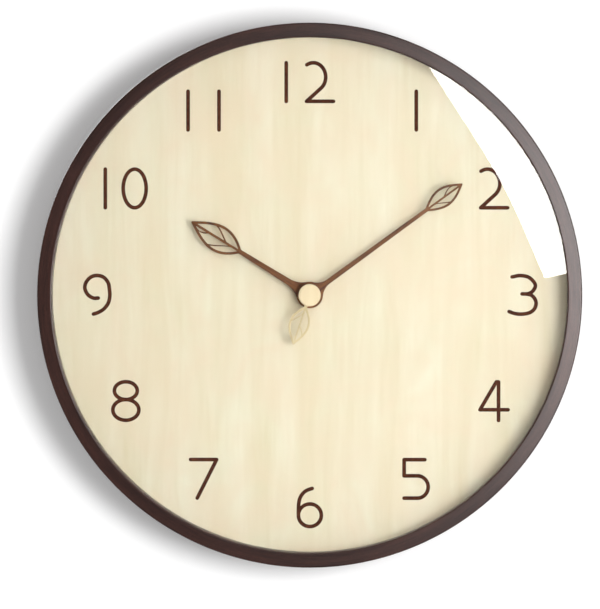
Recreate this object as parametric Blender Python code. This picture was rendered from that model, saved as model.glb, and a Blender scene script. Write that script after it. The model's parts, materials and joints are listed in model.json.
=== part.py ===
"""Round wooden wall clock with leaf hands and a battery movement.

The clock faces -Y, +X is to the right of its dial and +Z is up.  The origin is on the wall plane, at
the point where the hook in the wall carries the keyhole plate.  "Depth" is the distance from the wall
towards the viewer, so a piece at depth d lies at y = -d.
"""
import math

import bmesh
import bpy

MM = 0.001
TURN = 2 * math.pi

# ---------------------------------------------------------------- clearances
FACE_GAP = 0.3 * MM        # between pieces that lie face to face
FIT_GAP = 0.3 * MM         # round a shaft in its bore
BACKLASH_GAP = 0.5 * MM    # between the tip of a wheel and what it passes

# ---------------------------------------------------------------- rim, glass and dial
RIM_OUTER_R = 150 * MM
RIM_WALL = 5.8 * MM
LIP_WIDTH = 8.0 * MM       # front face of the rim, seen from the front
LIP_THICK = 2.5 * MM
RIM_EDGE_R = 0.9 * MM
GLASS_THICK = 2.0 * MM
DIAL_THICK = 3.5 * MM
CAP_TO_GLASS = 1.2 * MM
RING_SEGMENTS = 72

# ---------------------------------------------------------------- hanging
HOOK_BELOW_RIM_TOP = 19 * MM
HANG_ABOVE_CENTRE = RIM_OUTER_R - HOOK_BELOW_RIM_TOP
HANGER_BLOCK_WIDTH = 64 * MM
HANGER_BLOCK_HEIGHT = 27 * MM
HANGER_BLOCK_DEPTH = 15 * MM
HANGER_SCREW_HEAD = 1.2 * MM
HANGER_TO_WALL = 0.4 * MM
HANGER_PLATE_THICK = 1.2 * MM
HANGER_PLATE_WIDTH = 48 * MM
HANGER_PLATE_HEIGHT = 19 * MM
KEYHOLE_SLOT_R = 2.3 * MM
KEYHOLE_ENTRY_R = 4.6 * MM
KEYHOLE_DROP = 8 * MM
KEYHOLE_POCKET_R = 6.4 * MM
KEYHOLE_POCKET_DEPTH = 6 * MM
HANGER_SCREW_SPACING = 34 * MM
HANGER_SCREW_R = 1.4 * MM
HANGER_SCREW_HEAD_R = 2.9 * MM
HANGER_SCREW_LENGTH = 9 * MM

# ---------------------------------------------------------------- dial clips
CLIP_ANGLES = (45, 135, 225, 315)
CLIP_THICK = 1.0 * MM
CLIP_WIDTH = 14 * MM
CLIP_FOOT = 13 * MM
CLIP_UPRIGHT = 13 * MM
CLIP_SCREW_R = 1.1 * MM
CLIP_SCREW_HEAD_R = 2.7 * MM
CLIP_SCREW_HEAD = 1.3 * MM
CLIP_SCREW_BITE = 4.0 * MM

# ---------------------------------------------------------------- movement shells
KNOB_TO_WALL = 2.6 * MM
KNOB_THICK = 3.0 * MM
KNOB_R = 5.0 * MM
KNOB_RIBS = 18
COVER_THICK = 1.2 * MM
SHELL_WALL = 1.2 * MM
SHELL_CORNER_R = 3 * MM
PARTITION_WALL = 0.8 * MM
PLATE_THICK = 0.8 * MM
PLATE_MARGIN = 2.0 * MM    # from a post's axis to the edge of the plates
POST_R = 1.2 * MM

# ---------------------------------------------------------------- battery and electric pieces
BATTERY_R = 7.25 * MM
BATTERY_LENGTH = 50.5 * MM
BATTERY_NUB_R = 2.75 * MM
BATTERY_NUB = 1.3 * MM
BATTERY_SIDE_GAP = 0.3 * MM
CONTACT_THICK = 0.4 * MM
CONTACT_WIDTH = 8 * MM
CONTACT_BOW = 0.5 * MM     # how far the positive contact stands out to the battery
CONTACT_TRAVEL = 1.9 * MM  # room for the negative contact to spring
COIL_LENGTH = 16 * MM
COIL_R = 2.6 * MM
BOBBIN_FLANGE_R = 2.9 * MM
BOBBIN_WALL = 0.3 * MM
CORE_HEIGHT = 1.8 * MM
CORE_SPAN = 24 * MM
STATOR_LEG = 3 * MM
STATOR_BRIDGE = 0.8 * MM
MAGNET_R = 3.0 * MM
BOARD_WIDTH = 7.5 * MM
BOARD_HEIGHT = 22 * MM
CRYSTAL_R = 1.0 * MM
CRYSTAL_LENGTH = 6 * MM
CHIP_R = 2.6 * MM
CHIP_HEIGHT = 1.0 * MM

# ---------------------------------------------------------------- shafts, one inside the other
SECOND_ARBOR_R = 0.6 * MM
TUBE_WALL = 0.6 * MM
BUSH_WALL = 1.3 * MM
BUSH_FLANGE = 0.8 * MM
BUSH_FLANGE_R = 7 * MM
RUBBER_THICK = 0.8 * MM
RUBBER_R = 8 * MM
NUT_WASHER_THICK = 0.6 * MM
NUT_WASHER_R = 6.2 * MM
NUT_THICK = 2.2 * MM
NUT_FLATS = 10 * MM
BUSH_PAST_NUT = 0.8 * MM
COLLET_FLANGE = 0.5 * MM
COLLET_WALL = 0.8 * MM
PIVOT_R = 0.6 * MM
KNOB_STEM_R = 1.2 * MM
CLUTCH_THICK = 0.4 * MM
CLUTCH_R = 4.2 * MM

# ---------------------------------------------------------------- toothed wheels
ROTOR_TEETH, INTERMEDIATE_TEETH = 10, 50
INTERMEDIATE_PINION, SECONDS_TEETH = 8, 48
SECONDS_PINION, THIRD_TEETH = 8, 60
THIRD_PINION, CENTRE_TEETH = 8, 64
CANNON_TEETH, MOTION_TEETH = 12, 36
MOTION_PINION, HOUR_TEETH = 10, 40
KNOB_TEETH = 12
ROTOR_MODULE = 0.25 * MM
SECONDS_MODULE = 0.36 * MM
THIRD_MODULE = 0.36 * MM
CENTRE_MODULE = THIRD_MODULE * (SECONDS_PINION + THIRD_TEETH) / (THIRD_PINION + CENTRE_TEETH)
MOTION_MODULE = 0.40 * MM
HOUR_MODULE = MOTION_MODULE * (CANNON_TEETH + MOTION_TEETH) / (MOTION_PINION + HOUR_TEETH)
TIP_SHARE = 0.16           # tooth width at its tip
ROOT_SHARE = 0.46          # tooth width at its root
ADDENDUM = 0.75            # tooth height over the pitch circle, in modules
DEDENDUM = 1.15

# Directions from one axle to the next, in degrees clockwise from 12 o'clock.
THIRD_DIRECTION = 290
MOTION_DIRECTION = 60
KNOB_DIRECTION = 75
INTERMEDIATE_DIRECTION = 10
ROTOR_DIRECTION = 20

# Levels inside the housing, in millimetres behind its inner face: (front, rear).
HOUR_LEVEL = (0.4, 1.3)
MOTION_LEVEL = (1.9, 2.7)
CANNON_LEVEL = (1.7, 2.9)
CENTRE_LEVEL = (4.0, 4.8)
THIRD_PINION_LEVEL = (3.8, 5.3)
THIRD_LEVEL = (5.3, 6.1)
SECONDS_PINION_LEVEL = (5.2, 6.4)
MIDDLE_PLATE_FRONT = 6.7
SECONDS_LEVEL = (7.9, 8.7)
STATOR_LEVEL = (7.9, 8.7)
MAGNET_LEVEL = (7.9, 8.9)
INTERMEDIATE_PINION_LEVEL = (7.8, 9.2)
INTERMEDIATE_LEVEL = (9.2, 10.0)
ROTOR_LEVEL = (8.9, 10.2)
TRAIN_PLATE_FRONT = 10.5
BOARD_LEVEL = (7.9, 8.9)

# ---------------------------------------------------------------- hands
HOUR_ANGLE = 301.8
MINUTE_ANGLE = 53.9
SECOND_ANGLE = 198.5
HUB_R = 7.3 * MM
HAND_THICK = 1.3 * MM
SECOND_HAND_THICK = 0.8 * MM
SECOND_HUB_R = 5.2 * MM
CAP_R = 6.1 * MM
CAP_THICK = 1.5 * MM

# Each leaf: where it starts and its length along the hand, its half width on the clockwise and the
# anticlockwise side, how far its widest place is pulled to the base (1 = halfway), the widths of its
# outline, midrib and veins, and its veins as (share of the leaf at the midrib, share at the outline).
HOUR_LEAF = dict(start=44.3 * MM, length=33.0 * MM, wide=(7.4 * MM, 7.6 * MM), pull=0.86,
                 outline=1.45 * MM, rib=1.35 * MM, vein=1.25 * MM,
                 veins=(((0.33, 0.57),), ((0.23, 0.54), (0.66, 0.83))))
MINUTE_LEAF = dict(start=78.2 * MM, length=26.4 * MM, wide=(5.3 * MM, 5.5 * MM), pull=1.0,
                   outline=1.25 * MM, rib=1.1 * MM, vein=1.05 * MM,
                   veins=(((0.30, 0.54),), ((0.54, 0.76),)))
SECOND_LEAF = dict(start=6.4 * MM, length=22.6 * MM, wide=(6.1 * MM, 5.3 * MM), pull=0.92,
                   outline=1.1 * MM, rib=0.85 * MM, vein=0.8 * MM,
                   veins=(((0.20, 0.44),), ((0.52, 0.70),)))
LEAF_TIP_R = 0.7 * MM
LEAF_STEPS = 16

# Each arm: half width at the hub and at the leaf, and the radius of the fillet into the hub.
HOUR_ARM = dict(root=1.75 * MM, end=1.2 * MM, fillet=14 * MM)
MINUTE_ARM = dict(root=1.4 * MM, end=1.02 * MM, fillet=10 * MM)
SECOND_ARM = dict(root=1.0 * MM, end=0.9 * MM, fillet=2 * MM)


def polar(radius, degrees):
    """Point at a clock angle: degrees clockwise from 12 o'clock, as (x, z)."""
    turn = math.radians(degrees)
    return radius * math.sin(turn), radius * math.cos(turn)


def from_point(point, radius, degrees):
    dx, dz = polar(radius, degrees)
    return point[0] + dx, point[1] + dz


def next_axle(axle, degrees, module, teeth_a, teeth_b):
    """Axle of a wheel that meshes with the one on `axle`."""
    return from_point(axle, module * (teeth_a + teeth_b) / 2, degrees)


def tip_radius(count, module):
    return module * (count / 2 + ADDENDUM)


# ---------------------------------------------------------------- axles of the train
HAND_AXLE = (0.0, 0.0)
THIRD_AXLE = next_axle(HAND_AXLE, THIRD_DIRECTION, THIRD_MODULE, SECONDS_PINION, THIRD_TEETH)
MOTION_AXLE = next_axle(HAND_AXLE, MOTION_DIRECTION, MOTION_MODULE, CANNON_TEETH, MOTION_TEETH)
KNOB_AXLE = next_axle(MOTION_AXLE, KNOB_DIRECTION, MOTION_MODULE, KNOB_TEETH, MOTION_TEETH)
INTERMEDIATE_AXLE = next_axle(HAND_AXLE, INTERMEDIATE_DIRECTION, SECONDS_MODULE,
                              INTERMEDIATE_PINION, SECONDS_TEETH)
ROTOR_AXLE = next_axle(INTERMEDIATE_AXLE, ROTOR_DIRECTION, ROTOR_MODULE,
                       ROTOR_TEETH, INTERMEDIATE_TEETH)

# ---------------------------------------------------------------- posts, clear of the wheels
THIRD_TIP_R = tip_radius(THIRD_TEETH, THIRD_MODULE)
CENTRE_TIP_R = tip_radius(CENTRE_TEETH, CENTRE_MODULE)
POST_CLEAR = POST_R + 2 * BACKLASH_GAP
POSTS = (from_point(THIRD_AXLE, THIRD_TIP_R + POST_CLEAR, 195),
         from_point(THIRD_AXLE, THIRD_TIP_R + POST_CLEAR, 345),
         from_point(HAND_AXLE, max(CENTRE_TIP_R, THIRD_TIP_R) + 3 * POST_CLEAR, 118),
         from_point(KNOB_AXLE, tip_radius(KNOB_TEETH, MOTION_MODULE) + 2 * POST_CLEAR, 359))

# ---------------------------------------------------------------- radii worked out from the rim inwards
RIM_INNER_R = RIM_OUTER_R - RIM_WALL
LIP_INNER_R = RIM_OUTER_R - LIP_WIDTH
DIAL_R = RIM_INNER_R - FIT_GAP
MINUTE_BORE_R = SECOND_ARBOR_R + FIT_GAP
MINUTE_TUBE_R = MINUTE_BORE_R + TUBE_WALL
HOUR_BORE_R = MINUTE_TUBE_R + FIT_GAP
HOUR_TUBE_R = HOUR_BORE_R + TUBE_WALL
BUSH_BORE_R = HOUR_TUBE_R + FIT_GAP
BUSH_R = BUSH_BORE_R + BUSH_WALL

# ---------------------------------------------------------------- places inside the housing
POSITIVE_ROOM = 2 * FACE_GAP + CONTACT_THICK + CONTACT_BOW
NEGATIVE_ROOM = 2 * FACE_GAP + CONTACT_THICK + CONTACT_TRAVEL
BATTERY_ROOM = BATTERY_LENGTH + POSITIVE_ROOM + NEGATIVE_ROOM
BOARD_ROOM = POST_R - min(x for x, z in POSTS) + BOARD_WIDTH + 3 * FACE_GAP
CHAMBER_HALF = max(BATTERY_ROOM / 2, BOARD_ROOM, THIRD_TIP_R - THIRD_AXLE[0] + 2 * BACKLASH_GAP,
                   max(x for x, z in POSTS) + PLATE_MARGIN + FACE_GAP)
HOUSING_HALF = CHAMBER_HALF + SHELL_WALL
BAY_HALF_HEIGHT = BATTERY_R + BATTERY_SIDE_GAP
CHAMBER_BOTTOM = -CENTRE_TIP_R - BACKLASH_GAP
BAY_TOP = CHAMBER_BOTTOM - PARTITION_WALL
BATTERY_Z = BAY_TOP - BAY_HALF_HEIGHT
BAY_BOTTOM = BATTERY_Z - BAY_HALF_HEIGHT
HOUSING_BOTTOM = BAY_BOTTOM - SHELL_WALL
MAGNET_HOLE_R = MAGNET_R + FIT_GAP
STATOR_TOP = ROTOR_AXLE[1] + MAGNET_HOLE_R + STATOR_BRIDGE
PLATE_TOP = max(STATOR_TOP, max(z for x, z in POSTS) + PLATE_MARGIN)
CORE_Z = PLATE_TOP + FACE_GAP + BOBBIN_FLANGE_R
CHAMBER_TOP = CORE_Z + BOBBIN_FLANGE_R + FACE_GAP
HOUSING_TOP = CHAMBER_TOP + SHELL_WALL
CORE_LEVEL = (STATOR_LEVEL[0] - 1.1, STATOR_LEVEL[0] - 0.3)

# ---------------------------------------------------------------- depths worked out from the wall
COVER_REAR = KNOB_TO_WALL + KNOB_THICK + FACE_GAP
SHELL_REAR = COVER_REAR + COVER_THICK + FACE_GAP
TRAIN_DEPTH = TRAIN_PLATE_FRONT * MM + PLATE_THICK + FACE_GAP
SHELL_FLOOR = max(COVER_REAR + 2 * BATTERY_R + FACE_GAP, SHELL_REAR + TRAIN_DEPTH)
SHELL_FRONT = SHELL_FLOOR + SHELL_WALL
BATTERY_DEPTH = SHELL_FLOOR - FACE_GAP - BATTERY_R
BUSH_REAR = SHELL_FRONT + FACE_GAP
RUBBER_REAR = BUSH_REAR + BUSH_FLANGE + FACE_GAP
DIAL_REAR = RUBBER_REAR + RUBBER_THICK + FACE_GAP
DIAL_FRONT = DIAL_REAR + DIAL_THICK
NUT_WASHER_REAR = DIAL_FRONT + FACE_GAP
NUT_REAR = NUT_WASHER_REAR + NUT_WASHER_THICK + FACE_GAP
BUSH_FRONT = NUT_REAR + NUT_THICK + BUSH_PAST_NUT
HOUR_COLLET_REAR = BUSH_FRONT + FACE_GAP
HOUR_HAND_REAR = HOUR_COLLET_REAR + COLLET_FLANGE + FACE_GAP
HOUR_HAND_FRONT = HOUR_HAND_REAR + HAND_THICK
MINUTE_COLLET_REAR = HOUR_HAND_FRONT + FACE_GAP
MINUTE_HAND_REAR = MINUTE_COLLET_REAR + COLLET_FLANGE + FACE_GAP
MINUTE_HAND_FRONT = MINUTE_HAND_REAR + HAND_THICK
SOCKET_REAR = MINUTE_HAND_FRONT + FACE_GAP
SECOND_HAND_REAR = SOCKET_REAR + COLLET_FLANGE + FACE_GAP
SECOND_HAND_FRONT = SECOND_HAND_REAR + SECOND_HAND_THICK
CAP_REAR = SECOND_HAND_FRONT + FACE_GAP
CAP_FRONT = CAP_REAR + CAP_THICK
GLASS_REAR = CAP_FRONT + CAP_TO_GLASS
GLASS_FRONT = GLASS_REAR + GLASS_THICK
LIP_REAR = GLASS_FRONT + FACE_GAP
RIM_FRONT = LIP_REAR + LIP_THICK

# ---------------------------------------------------------------- finishes: colour, roughness, metallic
FINISHES = {
    "walnut_stain": ((0.045, 0.016, 0.011), 0.45, 0.0),
    "walnut_hand": ((0.10, 0.035, 0.013), 0.5, 0.0),
    "pale_veneer": ((0.80, 0.70, 0.48), 0.5, 0.0),
    "clear_glass": ((0.95, 0.97, 0.96), 0.03, 0.0),
    "raw_pine": ((0.62, 0.45, 0.27), 0.6, 0.0),
    "zinc_steel": ((0.55, 0.56, 0.58), 0.35, 1.0),
    "brass": ((0.70, 0.50, 0.18), 0.3, 1.0),
    "black_plastic": ((0.02, 0.02, 0.022), 0.45, 0.0),
    "white_plastic": ((0.80, 0.79, 0.74), 0.4, 0.0),
    "black_rubber": ((0.025, 0.025, 0.025), 0.8, 0.0),
    "copper_wire": ((0.60, 0.20, 0.07), 0.35, 1.0),
    "soft_iron": ((0.33, 0.33, 0.35), 0.4, 1.0),
    "magnet": ((0.08, 0.08, 0.09), 0.4, 1.0),
    "green_board": ((0.03, 0.18, 0.08), 0.5, 0.0),
    "battery_wrap": ((0.10, 0.22, 0.42), 0.35, 0.0),
}


# ================================================================ helpers
def clear_scene():
    for obj in list(bpy.data.objects):
        bpy.data.objects.remove(obj)


def finish_material(name):
    if name in bpy.data.materials:
        return bpy.data.materials[name]
    colour, roughness, metallic = FINISHES[name]
    material = bpy.data.materials.new(name)
    material.use_nodes = True
    shader = material.node_tree.nodes["Principled BSDF"]
    shader.inputs["Base Color"].default_value = (*colour, 1)
    shader.inputs["Roughness"].default_value = roughness
    shader.inputs["Metallic"].default_value = metallic
    return material


def make_object(name, bm, finish, place=(0, 0), turn=0, smooth=True):
    """Turn a bmesh into an object on the axle at `place`, turned clockwise by `turn` degrees."""
    bmesh.ops.recalc_face_normals(bm, faces=bm.faces[:])
    mesh = bpy.data.meshes.new(name)
    bm.to_mesh(mesh)
    bm.free()
    if smooth:
        mesh.shade_smooth()
        mesh.set_sharp_from_angle(angle=math.radians(35))
    obj = bpy.data.objects.new(name, mesh)
    bpy.context.scene.collection.objects.link(obj)
    mesh.materials.append(finish_material(finish))
    obj.parent = DIAL_AXIS
    obj.location = (place[0], 0, place[1])
    obj.rotation_euler = (0, math.radians(turn), 0)
    return obj


def make_cutter(obj):
    obj.hide_render = True
    obj.display_type = "WIRE"
    return obj


def combine(target, tool, operation):
    """Cut `tool` from `target` (DIFFERENCE) or weld it on (UNION), and keep the tool as a guide."""
    modifier = target.modifiers.new(f"{operation.lower()}_{tool.name}", "BOOLEAN")
    modifier.operation = operation
    modifier.solver = "EXACT"
    modifier.object = make_cutter(tool)


def ring_of(bm, outline, depth):
    return [bm.verts.new((x, -depth, z)) for x, z in outline]


def wall_between(bm, ring_a, ring_b):
    for i, vert in enumerate(ring_a):
        j = (i + 1) % len(ring_a)
        bm.faces.new((vert, ring_a[j], ring_b[j], ring_b[i]))


def annulus(bm, ring_a, ring_b):
    """Fill the flat band between two rings round one axle, whatever their numbers of points."""
    def sorted_ring(ring):
        angles = [math.atan2(v.co.x, v.co.z) % TURN for v in ring]
        first = angles.index(min(angles))
        if (angles[(first + 1) % len(ring)] - angles[first]) % TURN > math.pi:
            ring, angles = ring[::-1], angles[::-1]
            first = angles.index(min(angles))
        return ring[first:] + ring[:first], sorted(angles)

    (a, a_angles), (b, b_angles) = sorted_ring(ring_a), sorted_ring(ring_b)
    i = j = 0
    while i < len(a) or j < len(b):
        next_a = a_angles[i + 1] if i + 1 < len(a) else a_angles[0] + TURN
        next_b = b_angles[j + 1] if j + 1 < len(b) else b_angles[0] + TURN
        if j >= len(b) or (i < len(a) and next_a <= next_b):
            bm.faces.new((a[i], a[(i + 1) % len(a)], b[j % len(b)]))
            i += 1
        else:
            bm.faces.new((b[j], b[(j + 1) % len(b)], a[i % len(a)]))
            j += 1


def circle(radius, count=20, phase=0.0):
    return [polar(radius, phase + 360 * k / count) for k in range(count)]


def stack(name, levels, finish, bore=0, place=(0, 0), turn=0):
    """One piece turned about its axle: levels of (outline, rear depth, front depth), rear first."""
    bm = bmesh.new()
    levels = sorted(levels, key=lambda level: level[1])
    last_ring = None
    for outline, rear, front in levels:
        rear_ring = ring_of(bm, outline, rear)
        front_ring = ring_of(bm, outline, front)
        wall_between(bm, rear_ring, front_ring)
        if last_ring:
            annulus(bm, last_ring, rear_ring)
        else:
            first_ring = rear_ring
        last_ring = front_ring
    if bore:
        bore_rear = ring_of(bm, circle(bore, 14), levels[0][1])
        bore_front = ring_of(bm, circle(bore, 14), levels[-1][2])
        wall_between(bm, bore_rear, bore_front)
        annulus(bm, first_ring, bore_rear)
        annulus(bm, last_ring, bore_front)
    else:
        bm.faces.new(first_ring)
        bm.faces.new(last_ring)
    return make_object(name, bm, finish, place, turn)


def flat_piece(name, outline, holes, rear, front, finish, place=(0, 0), turn=0):
    """A sheet with any outline and any holes, between two depths."""
    bm = bmesh.new()
    for loop in [outline, *holes]:
        ring = ring_of(bm, loop, rear)
        for i, vert in enumerate(ring):
            bm.edges.new((vert, ring[(i + 1) % len(ring)]))
    bmesh.ops.triangle_fill(bm, use_beauty=True, use_dissolve=False, edges=bm.edges[:])
    grown = bmesh.ops.extrude_face_region(bm, geom=bm.faces[:], use_keep_orig=True)
    moved = [item for item in grown["geom"] if isinstance(item, bmesh.types.BMVert)]
    bmesh.ops.translate(bm, verts=moved, vec=(0, rear - front, 0))
    return make_object(name, bm, finish, place, turn)


def turned_ring(name, profile, finish, segments=RING_SEGMENTS):
    """A ring spun from a closed profile of (radius, depth) points."""
    bm = bmesh.new()
    sections = []
    for k in range(segments):
        sections.append([bm.verts.new((*polar(r, 360 * k / segments)[:1], -depth,
                                       polar(r, 360 * k / segments)[1])) for r, depth in profile])
    for k, section in enumerate(sections):
        wall_between(bm, section, sections[(k + 1) % segments])
    return make_object(name, bm, finish)


def rounded_rectangle(x0, x1, z0, z1, radius, steps=4):
    corners = ((x1 - radius, z1 - radius, 0), (x1 - radius, z0 + radius, 90),
               (x0 + radius, z0 + radius, 180), (x0 + radius, z1 - radius, 270))
    points = []
    for cx, cz, start in corners:
        for k in range(steps + 1):
            dx, dz = polar(radius, start + 90 * k / steps)
            points.append((cx + dx, cz + dz))
    return points


def shifted(outline, place):
    return [(x + place[0], z + place[1]) for x, z in outline]


def below_floor(level):
    """A level inside the housing as (rear depth, front depth)."""
    front, rear = level
    return SHELL_FLOOR - rear * MM, SHELL_FLOOR - front * MM


# ================================================================ teeth
def teeth(count, module, phase=0.0):
    """Outline of a toothed wheel with one tooth centred on the clock angle `phase`."""
    pitch_r = module * count / 2
    tip_r = pitch_r + ADDENDUM * module
    root_r = pitch_r - DEDENDUM * module
    step = 360 / count
    points = []
    for k in range(count):
        middle = phase + k * step
        points.append(polar(root_r, middle - step * ROOT_SHARE / 2))
        points.append(polar(tip_r, middle - step * TIP_SHARE / 2))
        points.append(polar(tip_r, middle + step * TIP_SHARE / 2))
        points.append(polar(root_r, middle + step * ROOT_SHARE / 2))
    return points


def mate_phase(direction, teeth_a, teeth_b, phase_a=0.0):
    """Phase of wheel b so that its gap meets a tooth of wheel a in the given direction."""
    return direction + 180 + ((direction - phase_a) * teeth_a - 180) / teeth_b


# ================================================================ leaf hands
def leaf_half_width(leaf, side, share):
    return leaf["wide"][side] * math.sin(math.pi * share ** leaf["pull"])


def leaf_inner_width(leaf, side, share):
    """Half width of the opening in the leaf: the outline's own width is taken off square to it."""
    step = 0.001
    rise = leaf_half_width(leaf, side, share + step) - leaf_half_width(leaf, side, share - step)
    slope = rise / (2 * step * leaf["length"])
    return leaf_half_width(leaf, side, share) - leaf["outline"] * math.hypot(1, slope)


def solve(function, low, high):
    """Share at which `function` passes from negative to positive, by halving."""
    for _ in range(40):
        middle = (low + high) / 2
        low, high = (low, middle) if function(middle) > 0 else (middle, high)
    return (low + high) / 2


def leaf_openings(leaf):
    """The openings of the leaf, each between the midrib, the outline and two veins."""
    openings = []
    for side in (0, 1):
        sign = 1 if side == 0 else -1
        rib = leaf["rib"] / 2

        def room(share):
            return leaf_inner_width(leaf, side, share) - rib - 0.15 * MM

        base = solve(room, 0.02, 0.4)
        tip = solve(lambda share: -room(share), 0.6, 0.98)
        bounds = [(base, base, 0.0)]
        for at_rib, at_outline in leaf["veins"][side]:
            bounds.append((at_rib, at_outline, leaf["vein"] * 0.6 / leaf["length"]))
        bounds.append((tip, tip, 0.0))
        for (low_rib, low_out, low_w), (high_rib, high_out, high_w) in zip(bounds, bounds[1:]):
            low_rib, low_out = low_rib + low_w, low_out + low_w
            high_rib, high_out = high_rib - high_w, high_out - high_w
            route = [(low_rib + (low_out - low_rib) * v, v) for v in (0, 0.35, 0.7)]
            spans = max(3, round(LEAF_STEPS * (high_out - low_out)))
            route += [(low_out + (high_out - low_out) * k / spans, 1) for k in range(spans + 1)]
            route += [(high_rib + (high_out - high_rib) * v, v) for v in (0.7, 0.35, 0)]
            loop = []
            for share, across in route:
                x = rib + across * (leaf_inner_width(leaf, side, share) - rib)
                point = (sign * x, leaf["start"] + share * leaf["length"])
                if not loop or math.dist(point, loop[-1]) > 0.12 * MM:
                    loop.append(point)
            if math.dist(loop[0], loop[-1]) < 0.12 * MM:
                loop.pop()
            openings.append(loop)
    return openings


def half_outline(leaf, arm, hub_r, side):
    """One side of a hand, from behind the hub to just before the tip, as (half width, along)."""
    centre_x = arm["root"] + arm["fillet"]
    centre_z = math.sqrt((hub_r + arm["fillet"]) ** 2 - centre_x ** 2)
    touch = math.degrees(math.atan2(centre_x, centre_z))
    points = [polar(hub_r, 180 - (180 - touch) * k / 12) for k in range(1, 13)]
    sweep = 90 - touch
    for k in range(1, 7):
        dx, dz = polar(arm["fillet"], touch + 180 + sweep * k / 6)
        points.append((centre_x + dx, centre_z + dz))

    def past_arm(share):
        return leaf_half_width(leaf, side, share) - arm["end"]

    join = solve(past_arm, 0.0, 0.4)
    last = solve(lambda share: LEAF_TIP_R - leaf_half_width(leaf, side, share), 0.6, 1.0)
    for k in range(LEAF_STEPS + 1):
        share = join + (last - join) * k / LEAF_STEPS
        points.append((leaf_half_width(leaf, side, share), leaf["start"] + share * leaf["length"]))
    return points


def hand_outline(leaf, arm, hub_r):
    right = half_outline(leaf, arm, hub_r, 0)
    left = [(-x, z) for x, z in half_outline(leaf, arm, hub_r, 1)]
    tip_z = (right[-1][1] + left[-1][1]) / 2
    tip = [(LEAF_TIP_R * math.sin(a) * 0.75, tip_z + LEAF_TIP_R * math.cos(a))
           for a in (math.radians(50), 0, math.radians(-50))]
    return [(0, -hub_r)] + right + tip + left[::-1]


def make_hand(name, leaf, arm, hub_r, bore_r, rear, front, finish, angle):
    holes = [circle(bore_r, 16), *leaf_openings(leaf)]
    return flat_piece(name, hand_outline(leaf, arm, hub_r), holes, rear, front, finish, turn=angle)


# ================================================================ rim, glass and dial
def build_front():
    r, edge = RIM_OUTER_R, RIM_EDGE_R
    corner = edge * (1 - math.sqrt(0.5))
    rim = turned_ring("rim", [
        (RIM_INNER_R, 0), (r - edge, 0), (r, edge), (r, RIM_FRONT - edge),
        (r - corner, RIM_FRONT - corner), (r - edge, RIM_FRONT),
        (LIP_INNER_R + edge / 2, RIM_FRONT), (LIP_INNER_R, RIM_FRONT - edge / 2),
        (LIP_INNER_R, LIP_REAR), (RIM_INNER_R, LIP_REAR)], "walnut_stain")
    for angle in CLIP_ANGLES:
        hole = stack(f"pilot_hole_{angle}", [(circle(CLIP_SCREW_R + FIT_GAP, 12),
                                              -RIM_INNER_R - CLIP_SCREW_BITE - FIT_GAP,
                                              -RIM_INNER_R + CLIP_SCREW_BITE)], "walnut_stain")
        stand_out(hole, angle, CLIP_SCREW_DEPTH)
        combine(rim, hole, "DIFFERENCE")
    stack("glass", [(circle(DIAL_R, RING_SEGMENTS), GLASS_REAR, GLASS_FRONT)], "clear_glass")
    turned_ring("spacer_ring", [
        (LIP_INNER_R, DIAL_FRONT + FACE_GAP), (DIAL_R, DIAL_FRONT + FACE_GAP),
        (DIAL_R, GLASS_REAR - FACE_GAP), (LIP_INNER_R, GLASS_REAR - FACE_GAP)], "walnut_stain")
    stack("dial_board", [(circle(DIAL_R, RING_SEGMENTS), DIAL_REAR, DIAL_FRONT)], "pale_veneer",
          bore=BUSH_R + FIT_GAP)


# ================================================================ clips that hold the dial
CLIP_FRONT = DIAL_REAR - FACE_GAP
CLIP_OUTER_R = RIM_INNER_R - 2 * FACE_GAP
CLIP_SCREW_DEPTH = CLIP_FRONT - CLIP_UPRIGHT / 2


def stand_out(obj, angle, depth):
    """Turn a piece built along +Y so that it points out from the dial axis at `angle`."""
    obj.rotation_mode = "XYZ"
    obj.rotation_euler = (math.radians(90), math.radians(angle), 0)
    obj.location = (0, -depth, 0)


def build_clips():
    for number, angle in enumerate(CLIP_ANGLES, start=1):
        half = CLIP_WIDTH / 2
        bm = bmesh.new()
        profile = [(CLIP_OUTER_R, CLIP_FRONT), (CLIP_OUTER_R, CLIP_FRONT - CLIP_UPRIGHT),
                   (CLIP_OUTER_R - CLIP_THICK, CLIP_FRONT - CLIP_UPRIGHT),
                   (CLIP_OUTER_R - CLIP_THICK, CLIP_FRONT - CLIP_THICK),
                   (CLIP_OUTER_R - CLIP_FOOT, CLIP_FRONT - CLIP_THICK),
                   (CLIP_OUTER_R - CLIP_FOOT, CLIP_FRONT)]
        sides = [[bm.verts.new((x, -depth, z)) for z, depth in profile] for x in (-half, half)]
        wall_between(bm, *sides)
        for side in sides:
            bm.faces.new(side)
        clip = make_object(f"dial_clip_{number}", bm, "zinc_steel", turn=angle)
        head_r = CLIP_OUTER_R - CLIP_THICK - FACE_GAP
        hole = stack(f"clip_hole_{number}", [(circle(CLIP_SCREW_R + FIT_GAP, 12),
                                              -CLIP_OUTER_R - CLIP_THICK,
                                              -CLIP_OUTER_R + 2 * CLIP_THICK)], "zinc_steel")
        stand_out(hole, angle, CLIP_SCREW_DEPTH)
        combine(clip, hole, "DIFFERENCE")
        screw = stack(f"clip_screw_{number}", [
            (circle(CLIP_SCREW_R, 10), -RIM_INNER_R - CLIP_SCREW_BITE, -head_r),
            (circle(CLIP_SCREW_HEAD_R, 14), -head_r, -head_r + CLIP_SCREW_HEAD * 0.6),
            (circle(CLIP_SCREW_HEAD_R * 0.8, 14), -head_r + CLIP_SCREW_HEAD * 0.6,
             -head_r + CLIP_SCREW_HEAD)], "zinc_steel")
        stand_out(screw, angle, CLIP_SCREW_DEPTH)


# ================================================================ hanger
PLATE_REAR = HANGER_TO_WALL + HANGER_SCREW_HEAD + FACE_GAP
PLATE_FRONT = PLATE_REAR + HANGER_PLATE_THICK
BLOCK_REAR = PLATE_FRONT + FACE_GAP


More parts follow.
